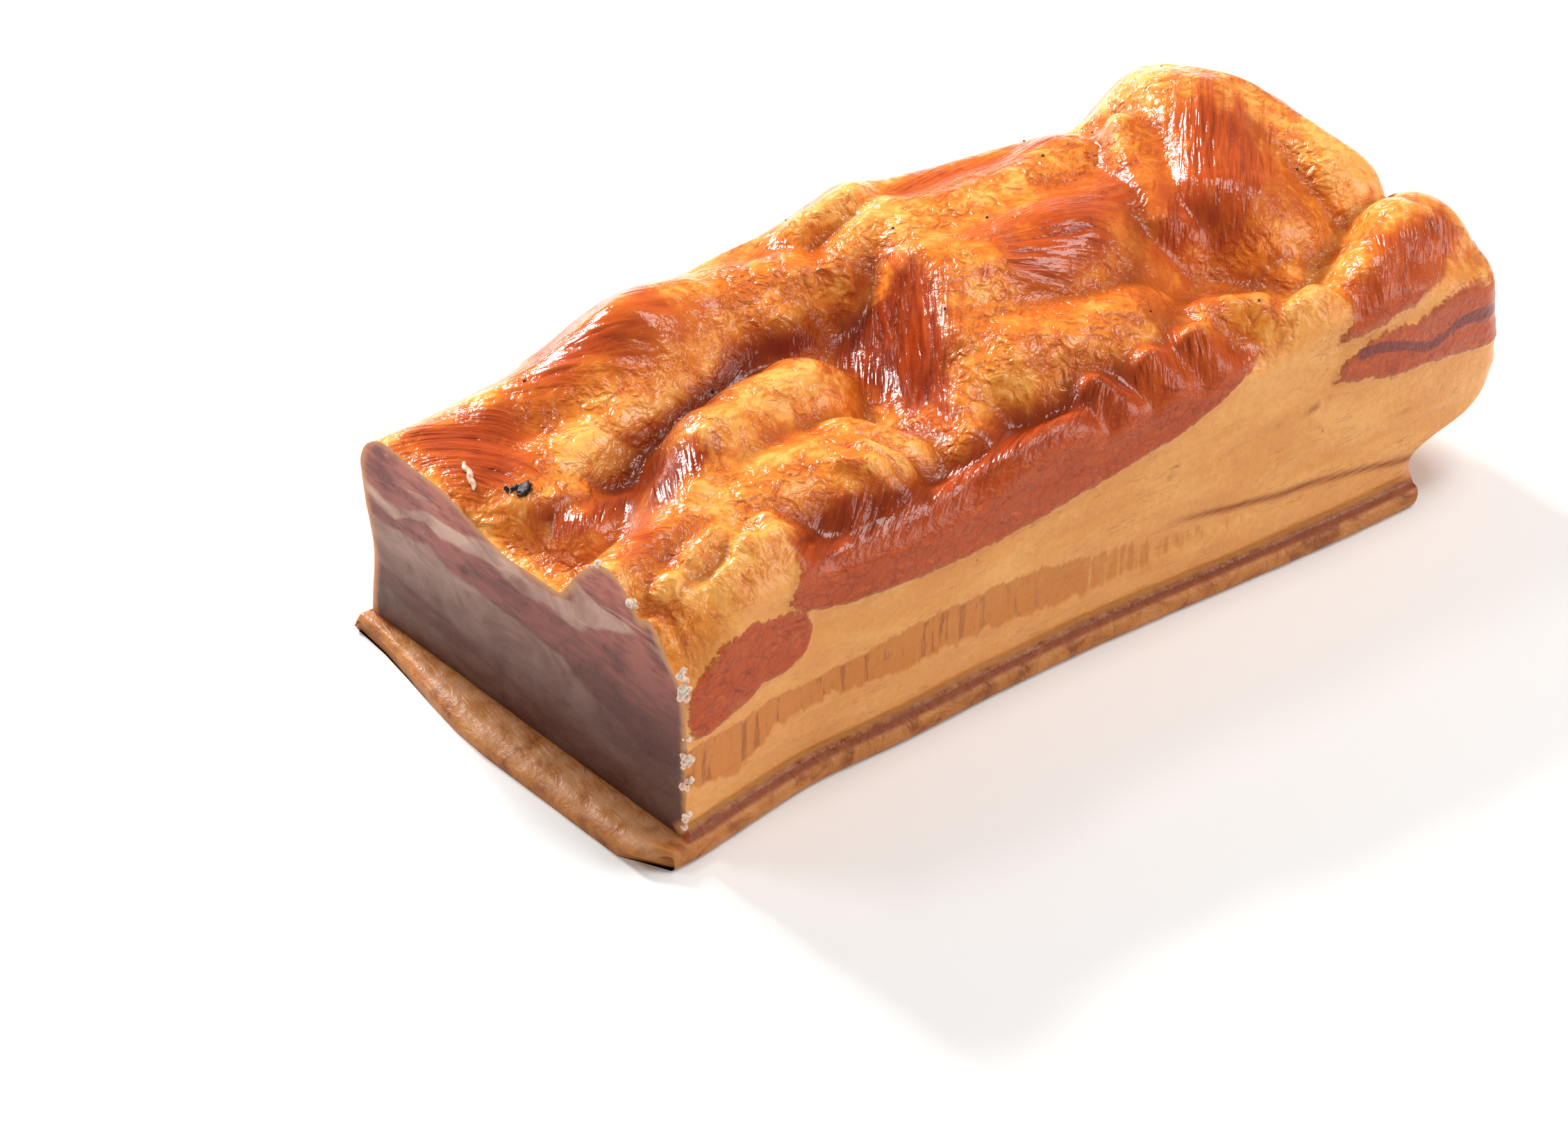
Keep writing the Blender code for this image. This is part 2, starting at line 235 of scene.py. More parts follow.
# The rolls of the slab's top, the same as in the part's source
ROLLS: dict[str, Roll] = {
    "roll beside the cut": Roll((-10, 46, 59), (6, 18, 59), 14, 5),
    "far ridge rising": Roll((14, 40, 62), (50, 38, 72), 19, 10),
    "far ridge end": Roll((50, 38, 72), (66, 38, 71), 18, 10),
    "fat slope": Roll((18, 20, 59.5), (46, 24, 63), 14, 8),
    "basin": Roll((10, -2, 57), (24, -3, 56), 9, 5),
    "basin fold": Roll((4, 10, 57.5), (14, 8, 57), 6, 4),
    "valley end": Roll((70, 31, 65), (80, 26, 66), 9, 6),
    "far fat pad": Roll((80, 36, 70), (92, 34, 71.5), 11, 6),
    "far fat lobule": Roll((104, 44, 74), (116, 42, 77), 9, 8),
    "fat lobule inside": Roll((100, 28, 72), (119, 31, 76), 8, 6),
    "far lean strip": Roll((124, 43, 73), (168, 43, 69), 12, 6),
    "fat ridge rising": Roll((19, -23, 67), (43, -7, 70.5), 11, 8),
    "fat ridge": Roll((43, -7, 70.5), (70, 2, 68.5), 12, 9),
    "fat skirt": Roll((30, -28, 66.5), (58, -24, 67.5), 14, 7),
    "fat swirl": Roll((55, -33, 66), (62, -33, 66), 9, 6),
    "fat foot": Roll((70, -18, 66), (77, -27, 63), 8, 5),
    "dome face": Roll((114, 8, 77.5), (104, -14, 73.5), 13, 14),
    "dome face foot": Roll((101, -22, 69.5), (92, -34, 64.5), 9, 6),
    "dome": Roll((122, 3, 78.5), (148, 3, 79), 22, 11),
    "dome back": Roll((148, 3, 79), (164, 6, 76), 19, 10),
    "fat patch": Roll((114, -22, 73), (140, -25, 72.5), 16, 9),
    "fat band": Roll((122, 24, 76.5), (168, 29, 74.5), 15, 8),
    "lip": Roll((-6, -30, 66), (12, -25, 66.5), 10, 8),
    "fat knob": Roll((8, -37, 63.5), (9, -37, 63.5), 5.5, 5),
    "fat knob below": Roll((10, -44, 61.5), (12, -44, 61.5), 6, 5),
    "fat knob at the cut": Roll((0, -43, 57), (2, -45, 56.5), 6, 4),
    "fat pad": Roll((16, -45, 63.5), (31, -43, 66.5), 10, 6),
    "fat pad corner": Roll((32, -46, 65), (36, -48, 63), 6, 5),
    "near roll": Roll((42, -47, 58.5), (72, -47, 60.5), 8, 5),
    "near roll rising": Roll((72, -47, 60.5), (112, -48, 65.5), 8, 6),
    "left flank": Roll((171, -8, 75), (184, 22, 80.5), 8, 7),
    "big lobe": Roll((192, -4, 78.5), (205, 25, 84), 20, 12),
    "far fat roll": Roll((188, 43, 68), (208, 41, 77), 9, 8),
    "end fat": Roll((214, 20, 79), (220, -8, 74), 13, 9),
    "right lobe": Roll((200, -42, 70), (217, -36, 73), 13, 9),
    "fat knuckle": Roll((173, -46, 67.5), (183, -46, 69), 8, 7),
    "fat beside the knuckle": Roll((159, -36, 69), (168, -40, 69), 8, 6),
    "first edge lobe": Roll((122, -51, 66), (122, -41, 68.5), 7, 6.5),
    "second edge lobe": Roll((137, -51, 66), (137, -41, 70.5), 7, 6.5),
    "third edge lobe": Roll((150, -51, 66), (150, -41, 70.5), 7, 6.5),
}

# Smaller rolls that only the looks need: lobules of fat that stand on the big forms
SMALL_ROLLS: dict[str, Roll] = {
    "knob": Roll((8, -37, 65.3), (9, -37.5, 65.3), 4.6, 4.5),
    "knob below": Roll((9, -43, 63.0), (12, -44, 63.2), 4.8, 4.6),
    "knob at the cut": Roll((0.5, -42, 59.6), (2, -44.5, 58.6), 4.4, 4.2),
    "pad edge": Roll((32, -38, 67.2), (36, -48, 64.6), 4.0, 3.4),
    "pad bulge": Roll((18, -46, 65.6), (23, -45, 66.6), 4.6, 3.0),
    "second pad bulge": Roll((25, -41, 67.6), (29, -45, 67.2), 4.2, 3.0),
    "by the knobs": Roll((15, -36, 66.8), (21, -34, 67.6), 3.6, 2.6),
    "swirl": Roll((56, -31, 68.7), (61, -33, 68.6), 3.6, 2.4),
    "round the swirl": Roll((64, -28, 69.0), (68, -33, 66.8), 3.2, 2.4),
    "hollow lobule": Roll((186, -26, 64.2), (192, -22, 65.0), 5, 3),
    "knuckle": Roll((176, -47, 69.4), (182, -46, 70.2), 6, 4.4),
    "by the knuckle": Roll((163, -38, 70.0), (168, -41, 70.2), 4.6, 3.6),
}


@dataclass(frozen=True)
class SlabForm:
    """The slab's main form: the same curves as the part's source, read more finely."""

    rind_width: float = 112.0
    rind_thickness: float = 4.8
    ledge: float = 3.0
    flap_length: float = 12.0
    flap_taper: float = 0.65
    flap_corner: float = 7.0
    cut_skew: float = 14.4 / 112.0
    wall_far_y: float = 52.5
    wall_bulge: float = 1.2
    wall_height: float = 62.0
    groove_depth: float = 1.9
    groove_height: float = 6.8
    groove_reach: float = 1.7
    rind_to_meat: float = 6.0
    waist_depth: float = 2.4
    waist_height: float = 24.0
    waist_reach: float = 12.0
    near_shoulder: float = 5.5
    far_shoulder: float = 11.0
    end_rounding: float = 7.0
    crease_softness: float = 1.5
    fine_softness: float = 0.45
    near_edge_blend: float = 9.0
    far_edge_blend: float = 10.6
    far_edge_band: float = 2.0
    wander: float = 1.6
    wander_length: float = 58.0
    small_wander: float = 0.5
    small_wander_length: float = 21.0
    rind_near_edge: Stations = (
        (-16, -52), (-10, -56.2), (0, -56), (18, -53.6), (36, -51.4), (60, -51.9),
        (88, -51.3), (112, -51.6), (136, -52.7), (160, -54.2), (191, -55.7), (215, -56),
    )
    near_edge_height: Stations = (
        (-2, 50), (5, 52), (10, 56), (16, 60), (23, 62), (30, 62), (35, 62.5), (39, 60),
        (50, 58.5), (66, 58.5), (82, 60), (96, 64), (112, 64.5), (118, 62), (123, 64.5),
        (130, 63), (137, 65.5), (144, 63.5), (150, 65.5), (158, 62.5), (166, 63),
        (180, 67), (188, 65), (197, 66), (210, 65), (222, 61), (238, 55),
    )
    far_edge_height: Stations = (
        (-16, 58), (8, 58.5), (21, 60), (32, 63.5), (48, 69.5), (59, 70), (70, 68.5),
        (82, 69.5), (99, 71), (110, 74), (118, 75.5), (129, 72), (150, 68), (164, 66),
        (182, 63.5), (190, 64), (197, 69), (204, 73), (214, 73), (224, 70), (240, 62),
    )
    hollow_height: Stations = (
        (-16, 50), (20, 50), (50, 51), (75, 55), (100, 59), (140, 62), (180, 60), (236, 58),
    )
    end_from_above: Stations = (
        (-56, 235), (-46, 235), (-35, 232.5), (-27, 229.5), (-14, 231), (2, 229),
        (20, 226), (35, 221), (54, 211),
    )
    end_from_side: Stations = (
        (0, -25), (5, -23), (10, -22), (15, -19), (21, -3), (28, 2), (36, 2), (46, 0),
        (54, -1), (62, -1), (70, -2), (78, -6), (86, -12),
    )

    def near_rind(self, x: Points) -> Points:
        """Y of the rind's near edge."""
        return along(self.rind_near_edge, x)

    def near_foot(self, x: Points) -> Points:
        """Y of the near wall's foot, a ledge behind the rind's edge."""
        return self.near_rind(x) + self.ledge

    def cut_x(self, y: Points) -> Points:
        """X of the cut, which runs slightly askew across the slab."""
        return -self.cut_skew * (y + self.rind_width / 2)

    def end_x(self, y: Points, z: Points) -> Points:
        """X of the far end: a plan curve and the overhang seen from the side."""
        return along(self.end_from_above, y) + along(self.end_from_side, z)

    def share_on_meat(self, z: Points) -> Points:
        """0 on the rind and 1 on the meat above it."""
        return ease(self.rind_thickness, self.rind_thickness + self.rind_to_meat, z)

    def place_x(self, share: Points, y: Points, z: Points) -> Points:
        """X at a share of the length.

        Args:
            share: Share of the way from the cut to the far end.
            y: Places across the slab.
            z: Heights.

        Returns:
            Places along the slab.
        """
        front = self.cut_x(y)
        back = self.end_x(y, z) - self.end_rounding * self.share_on_meat(z)
        return front + share * (back - front)

    def near_wall_out(self, z: Points) -> Points:
        """How far the near wall swells out, less the groove above the rind."""
        swell = self.wall_bulge * np.sin(np.pi * np.clip(z / self.wall_height, 0.0, 1.0))
        return swell - self.groove_depth * bell(z - self.groove_height, self.groove_reach)

    def far_wall_in(self, z: Points) -> Points:
        """How far the far wall draws in at its waist."""
        return self.waist_depth * bell(z - self.waist_height, self.waist_reach)

    def flap_reach(self, y: Points) -> Points:
        """How far the flap of rind sticks out in front of the cut."""
        return self.flap_length * (1 - self.flap_taper * ease(0.0, self.rind_width / 2, y))

    def bend(self, x: Points, y: Points) -> tuple[Points, Points]:
        """Bend the rolls a little, so that no crest or crease runs dead straight.

        Args:
            x: Places along the slab.
            y: Places across the slab.

        Returns:
            The bent places.
        """
        turn = 2 * np.pi / self.wander_length
        small_turn = 2 * np.pi / self.small_wander_length
        bent_x = x + self.wander * np.sin(turn * (y + 0.4 * x))
        bent_y = y + self.wander * np.sin(turn * (0.9 * x - 0.3 * y))
        bent_x = bent_x + self.small_wander * np.sin(small_turn * (y - 0.3 * x))
        bent_y = bent_y + self.small_wander * np.sin(small_turn * (x + 0.5 * y))
        return bent_x, bent_y

    @staticmethod
    def joined_top(heights: list[Points], softness: float) -> Points:
        """Take the highest of several heights, rounded off where they meet.

        Args:
            heights: Heights over the same points.
            softness: How broadly they blend, in millimetres.

        Returns:
            The joined heights.
        """
        stack = np.array(heights)
        highest = stack.max(axis=0)
        return highest + softness * np.log(np.exp((stack - highest) / softness).sum(axis=0))

    def top_height(self, x: Points, y: Points) -> Points:
        """Height of the top: the highest roll at each point, with softened creases.

        Args:
            x: Places along the slab.
            y: Places across the slab.

        Returns:
            Heights.
        """
        bent_x, bent_y = self.bend(x, y)
        z = along(self.hollow_height, x) + 0.0 * y
        for rolls, softness in ((ROLLS, self.crease_softness), (SMALL_ROLLS, self.fine_softness)):
            z = self.joined_top([z] + [roll.height(bent_x, bent_y) for roll in rolls.values()], softness)
        near = self.near_foot(x)
        near_share = ease(near + self.near_edge_blend, near, y)
        far = self.wall_far_y - self.far_edge_band
        far_share = ease(far - self.far_edge_blend, far, y)
        z = z + near_share * (along(self.near_edge_height, x) - z)
        return z + far_share * (along(self.far_edge_height, x) - z)

    def top_at(self, share: Points, y: Points) -> Points:
        """Height of the top over y at a share of the length."""
        return self.top_height(self.place_x(share, y, self.wall_height), y)


class Flow(Enum):
    """How the muscle fibres of a patch run."""

    STRAIGHT = "straight"
    ARC = "arc"
    FAN = "fan"


# Outlines on the top are drawn on a level sheet and carried down to the surface at a slant
SHEET_HEIGHT = 66.0
SHEET_SLANT = (0.728, 0.998)

# Outlines on the near wall are drawn along it and upwards, and lean back over its shoulder
WALL_SHEET_Y = -53.0
WALL_SLANT = 0.73
WALL_SIDE: Place = (-38.0, -46.0)
WALL_END: Place = (231.0, 221.0)


@dataclass(frozen=True)
class Patch:
    """A patch of lean meat that shows through the smoked fat.

    The outline is on the slanting sheet for the top, or along and up for a wall.
    The flow gives the fibres: an angle for straight ones, a centre for the others.
    """

    outline: Stations
    red: float = 0.5
    soft: float = 4.0
    amount: float = 1.0
    flow: Flow = Flow.STRAIGHT
    angle: float = 45.0
    centre: Place = (0.0, 0.0)
    sweep_length: float = 24.0

    def inside(self, x: Points, y: Points) -> Points:
        """Signed distance to the outline.

        Args:
            x: First coordinates.
            y: Second coordinates.

        Returns:
            Distances, positive inside the outline.
        """
        nearest = np.full(len(x), 1e9)
        within = np.zeros(len(x), bool)
        for start, end in zip(self.outline, self.outline[1:] + self.outline[:1]):
            nearest = np.minimum(nearest, from_line(x, y, start, end)[1])
            crosses = (start[1] > y) != (end[1] > y)
            rise = end[1] - start[1] or 1e-9
            within ^= crosses & (x < start[0] + (y - start[1]) * (end[0] - start[0]) / rise)
        return np.where(within, nearest, -nearest)

    def field(self, inside: Points, blur: float) -> Points:
        """Strength of the lean at signed distances from the outline.

        Args:
            inside: Signed distances.
            blur: Width of the border as a multiple of the patch's softness.

        Returns:
            Strengths from 0 to the patch's amount.
        """
        return np.clip(0.5 + inside / (blur * self.soft), 0, 1) * self.amount

    def fibre(self, x: Points, y: Points) -> Points:
        """Read how far points lie across and along the fibres.

        Args:
            x: First coordinates.
            y: Second coordinates.

        Returns:
            Distances across and along the fibres, in two columns.
        """
        off_x = x - self.centre[0]
        off_y = y - self.centre[1]
        if self.flow is Flow.STRAIGHT:
            turn = np.radians(self.angle)
            across = off_y * np.cos(turn) - off_x * np.sin(turn)
            return np.stack([across, off_x * np.cos(turn) + off_y * np.sin(turn)], axis=1)
        radius = np.hypot(off_x, off_y)
        sweep = np.arctan2(off_y, off_x) * self.sweep_length
        pair = [radius, sweep] if self.flow is Flow.ARC else [sweep, radius]
        return np.stack(pair, axis=1)


TOP_PATCHES: dict[str, Patch] = {
    "beside the cut": Patch(
        (
            (-20, 42), (-7, 41), (2, 36), (11, 34), (16, 21), (8, 14), (2, 6), (-8, 4), (-13, 9),
            (-15, 26),
        ),
        red=0.62, soft=5.0, flow=Flow.ARC, centre=(-22, 8),
    ),
    "far ridge": Patch(
        (
            (9, 46), (31, 47), (49, 56), (65, 52), (70, 40), (67, 32), (57, 27), (44, 23), (34, 27),
            (23, 25), (16, 21), (10, 33),
        ),
        red=0.38, soft=7.0, flow=Flow.FAN, centre=(-14, 60),
    ),
    "basin": Patch(
        (
            (-12, -1), (-6, -2), (0, -3), (4, -6), (16, -8), (24, -5), (22, -14), (13, -18),
            (-3, -18), (-9, -20), (-12, -9),
        ),
        red=0.7, soft=4.0, angle=48,
    ),
    "back of the fat ridge": Patch(
        ((12, -19), (20, -8), (24, -4), (31, -4), (41, -5), (40, -12), (28, -18), (18, -21)),
        red=0.95, soft=3.0, angle=62,
    ),
    "valley floor": Patch(
        (
            (27, 4), (38, 6), (50, 9), (57, 15), (64, 17), (74, 17), (77, 11), (64, 7), (50, 4),
            (38, 0),
        ),
        red=0.85, soft=3.0, amount=0.85, angle=30,
    ),
    "valley end": Patch(
        ((66, 14), (74, 19), (84, 16), (80, 6), (70, 7)),
        red=0.9, soft=3.0, angle=60,
    ),
    "lip": Patch(
        ((-6, -20), (2, -17), (13, -16), (19, -20), (18, -30), (10, -36), (3, -35), (0, -27)),
        red=0.48, soft=5.0, amount=0.85, flow=Flow.ARC, centre=(2, -44),
    ),
    "strands on the fat ridge": Patch(
        ((44, -9), (56, -8), (68, -11), (66, -19), (54, -18), (46, -14)),
        red=0.2, soft=5.0, amount=0.62, angle=8,
    ),
    "dome face": Patch(
        (
            (113, 27), (117, 18), (118, 9), (112, -2), (105, -11), (98, -20), (92, -30), (84, -35),
            (83, -24), (77, -17), (76, -5), (78, 9), (84, 13), (98, 18),
        ),
        red=0.8, soft=4.5, angle=52,
    ),
    "mid dome": Patch(
        (
            (137, 20), (152, 21), (170, 24), (184, 24), (176, 10), (165, 3), (156, -3), (142, -6),
            (131, -5), (131, 5), (133, 13),
        ),
        red=0.62, soft=6.5, flow=Flow.FAN, centre=(100, 14),
    ),
    "notch on the dome": Patch(
        ((122, 9), (128, 10), (129, 5), (123, 4)),
        red=0.6, soft=1.6, angle=40,
    ),
    "far strip": Patch(
        ((128, 46), (138, 50), (156, 48), (175, 45), (174, 37), (157, 38), (141, 40), (129, 40)),
        red=0.4, soft=3.5, angle=6,
    ),
    "far lobules": Patch(
        ((82, 40), (96, 44), (104, 36), (96, 30), (86, 30)),
        red=0.2, soft=7.0, amount=0.55, angle=30,
    ),
    "big lobe": Patch(
        (
            (189, 21), (195, 33), (211, 40), (218, 37), (221, 22), (216, 8), (203, -8), (187, -16),
            (173, -17), (160, -18), (152, -11), (166, 1), (178, 11),
        ),
        red=0.5, soft=6.0, angle=50,
    ),
    "left flank": Patch(
        ((176, 11), (188, 22), (194, 30), (190, 20), (184, 8), (172, 0), (168, 2)),
        red=0.3, soft=3.0, angle=50,
    ),
    "right lobe": Patch(
        (
            (192, -45), (207, -35), (220, -32), (231, -32), (231, -44), (212, -55), (192, -62),
            (176, -64), (186, -52),
        ),
        red=0.4, soft=3.0, angle=54,
    ),
    "near trough": Patch(
        (
            (29, -43), (38, -39), (47, -38), (61, -40), (70, -46), (80, -43), (93, -37), (104, -38),
            (121, -36), (130, -35), (130, -80), (30, -80), (27, -56),
        ),
        red=0.72, soft=3.5, angle=34,
    ),
    "near roll strands": Patch(
        ((80, -52), (96, -46), (122, -44), (122, -80), (78, -80)),
        red=0.55, soft=3.0, angle=62,
    ),
    "edge lobes": Patch(
        (
            (120, -42), (132, -36), (146, -33), (153, -38), (158, -48), (164, -58), (166, -80),
            (116, -80),
        ),
        red=0.4, soft=3.0, angle=64,
    ),
    "swirl": Patch(
        ((56, -28), (62, -27), (63, -32), (57, -33)),
        red=0.2, soft=5.0, amount=0.6, flow=Flow.ARC, centre=(60, -30),
    ),
    "near hollow": Patch(
        ((150, -24), (160, -22), (175, -24), (186, -29), (180, -34), (160, -34), (147, -30)),
        red=0.6, soft=5.0, amount=0.66, angle=20,
    ),
    "skirt strands": Patch(
        ((74, -38), (80, -30), (88, -33), (86, -40), (78, -44)),
        red=0.45, soft=5.0, amount=0.6, angle=60,
    ),
}

WALL_PATCHES: dict[str, Patch] = {
    "near edge band": Patch(
        (
            (27, 56.5), (31, 52.5), (37, 50.8), (48, 49.2), (63, 47.6), (82, 47.2), (96, 48.5),
            (115, 50.8), (125, 52.4), (135, 54), (148, 58), (156, 62), (158, 68), (150, 85),
            (28, 85), (30, 64),
        ),
        red=0.5, soft=1.2,
    ),
    "oval": Patch(
        (
            (2, 33), (1, 42), (4, 50), (10, 55), (17, 56), (27, 55), (32, 52), (33.5, 48), (32, 42),
            (26, 39), (20, 39), (17, 36), (12, 34), (6, 32),
        ),
        red=0.35, soft=1.0, angle=20,
    ),
    "end layers": Patch(
        (
            (181, 48), (190, 45), (201, 41.5), (215, 39.5), (232, 38), (290, 38), (290, 56),
            (232, 60), (222, 60), (215, 57.5), (207, 55), (196, 56), (186, 54),
        ),
        red=0.35, soft=1.6, amount=0.95,
    ),
    "right lobe on the wall": Patch(
        ((183, 58), (196, 58.5), (206, 60), (214, 64), (221, 69), (224, 90), (196, 90), (190, 74)),
        red=0.4, soft=2.2, angle=54,
    ),
}

CUT_PATCHES: dict[str, Patch] = {
    "upper far": Patch(
        (
            (56, 56), (43, 62), (32, 62), (22, 60), (12, 59), (2, 57), (6, 50), (20, 48), (30, 47),
            (36, 44), (44, 42), (50, 43), (56, 45),
        ),
        soft=1.6,
    ),
    "lens": Patch(
        ((51, 40), (42, 38), (36, 41), (30, 43), (22, 40), (34, 35.5), (46, 35), (52, 36)),
        soft=1.6,
    ),
    "broad": Patch(
        (
            (30, 38), (20, 43), (8, 45), (-6, 43), (-20, 44), (-30, 49), (-40, 55), (-49, 52),
            (-56, 47), (-56, 27), (-44, 22), (-30, 26), (-16, 31), (0, 34), (14, 34), (24, 35),
        ),
        soft=2.2,
    ),
    "under the lip": Patch(
        ((-18, 57), (-24, 66), (-34, 66), (-43, 60), (-48, 54), (-38, 54), (-28, 55)),
        soft=1.2,
    ),
    "upper middle": Patch(((0, 58), (-8, 59), (-16, 57), (-20, 51), (-12, 48), (-2, 49)), soft=1.5),
    "low": Patch(
        ((54, 22), (40, 21), (28, 20), (16, 18), (8, 14), (24, 13), (40, 14), (54, 15)),
        soft=1.8, amount=0.75,
    ),
}

STREAK_LOWER: Stations = (
    (2, 18.6), (13, 17.3), (26, 24.5), (45, 24.9), (58, 23.2), (77, 23.5), (97, 20.8), (117, 19),
    (138, 19.5), (159, 15.6), (172, 14),
)
STREAK_UPPER: Stations = (
    (2, 29.7), (13, 31), (26, 32.4), (45, 32.8), (58, 34), (77, 34.7), (97, 33), (117, 29.5),
    (138, 24.8), (159, 19.8), (172, 16),
)
STREAK_STRENGTH: Stations = ((0, 1.0), (60, 0.95), (100, 0.75), (130, 0.5), (155, 0.3), (175, 0.0))
THIN_LINE: Stations = ((130, 29), (137, 28), (159, 23), (180, 20), (212, 13), (226, 11))
END_STRIPE: Stations = (
    (184, 52), (190, 53), (197, 51.5), (204, 48.5), (209, 46.5), (214, 46.5), (219, 48), (232, 48),
    (262, 48), (290, 49),
)


@dataclass(frozen=True)
class Stain:
    """A soft long mark on the slanting sheet, strongest on its middle line; it gives the fat's tone, and also
    smoke darkening with painted shade.
    """

    start: Place
    end: Place
    reach: float
    amount: float

    def strength(self, x: Points, y: Points) -> Points:
        """Strength of the stain, up to its amount."""
        return self.amount * bell(from_line(x, y, self.start, self.end)[1], self.reach)


# Painted shade, with colour deepened by gathered smoke: valleys, creases and the cut side
SMOKE_AND_SHADE_STAINS: tuple[Stain, ...] = (
    Stain((-4, -7), (18, -11), 6, 0.5),
    Stain((12, -12), (30, -2), 7, 0.95),
    Stain((32, 1), (60, 11), 5, 1.1),
    Stain((62, 13), (80, 17), 6, 1.1),
    Stain((8, 30), (15, 21), 6, 0.55),
    Stain((70, 36), (76, 30), 4, 0.35),
    Stain((84, -6), (92, -18), 6, 0.45),
    Stain((76, -28), (80, -34), 4, 0.5),
    Stain((40, -44), (88, -45), 6, 0.5),
    Stain((88, -42), (128, -40), 6, 0.55),
    Stain((116, -52), (119, -56), 2.5, 0.7),
    Stain((148, -28), (152, -36), 5, 0.4),
    Stain((152, -14), (176, 12), 3.5, 0.6),
    Stain((178, -10), (200, 14), 5, 0.25),
    Stain((176, -34), (200, -22), 6, 0.4),
    Stain((2, -43), (12, -46), 3, 0.35),
    Stain((106, 26), (100, 34), 3, 0.3),
    Stain((186, 34), (190, 42), 5, 0.3),
)

# How deep the golden colour of the fat goes: positive towards orange, negative towards pale
FAT_STAINS: tuple[Stain, ...] = (
    Stain((20, 14), (46, 18), 12, -0.08),
    Stain((-10, 16), (4, 8), 6, 0.3),
    Stain((42, -6), (72, 1), 7, -0.3),
    Stain((16, -46), (34, -44), 8, -0.25),
    Stain((4, -44), (10, -40), 6, -0.15),
    Stain((64, -38), (78, -40), 6, -0.1),
    Stain((120, -18), (156, -20), 13, 0.32),
    Stain((80, 34), (96, 36), 12, 0.1),
    Stain((122, 22), (168, 26), 12, 0.15),
    Stain((168, -50), (186, -46), 9, -0.3),
    Stain((158, -40), (168, -42), 5, 0.35),
    Stain((216, 20), (226, -10), 10, -0.3),
    Stain((214, 46), (226, 12), 11, -0.3),
    Stain((186, -26), (206, -14), 9, 0.15),
    Stain((112, 52), (122, 51), 9, -0.35),
    Stain((196, 44), (214, 48), 6, -0.1),
)


@dataclass
class SkinMesh:
    """Points, faces and painted values of the slab's skin, in millimetres."""

    points: Points
    faces: list[tuple[int, ...]]
    coats: list[int]
    wall: Points
    cut: Points
    rind: Points
    rim: Points


class Coat(Enum):
    """Which finish a face of the slab takes."""

    CRUST = 0
    CUT = 1
    RIND = 2


@dataclass
class Shell:
    """Points and faces laid down piece by piece, each face with its finish."""

    points: list[Points] = field(default_factory=list)
    faces: list[Face] = field(default_factory=list)
    coats: list[int] = field(default_factory=list)
    count: int = 0

    def add_points(self, points: Points) -> np.ndarray:
        """Add a grid or row of points.

        Args:
            points: Their places, in any layout.

        Returns:
            Their numbers, in the same layout.
        """
        self.points.append(points.reshape(-1, 3))
        numbers = self.count + np.arange(points.size // 3).reshape(points.shape[:-1])
        self.count += numbers.size
        return numbers

    def add_faces(self, faces: list[Face], coat: Coat) -> None:
        """Add faces that take the same finish."""
        self.faces += faces
        self.coats += [coat.value] * len(faces)


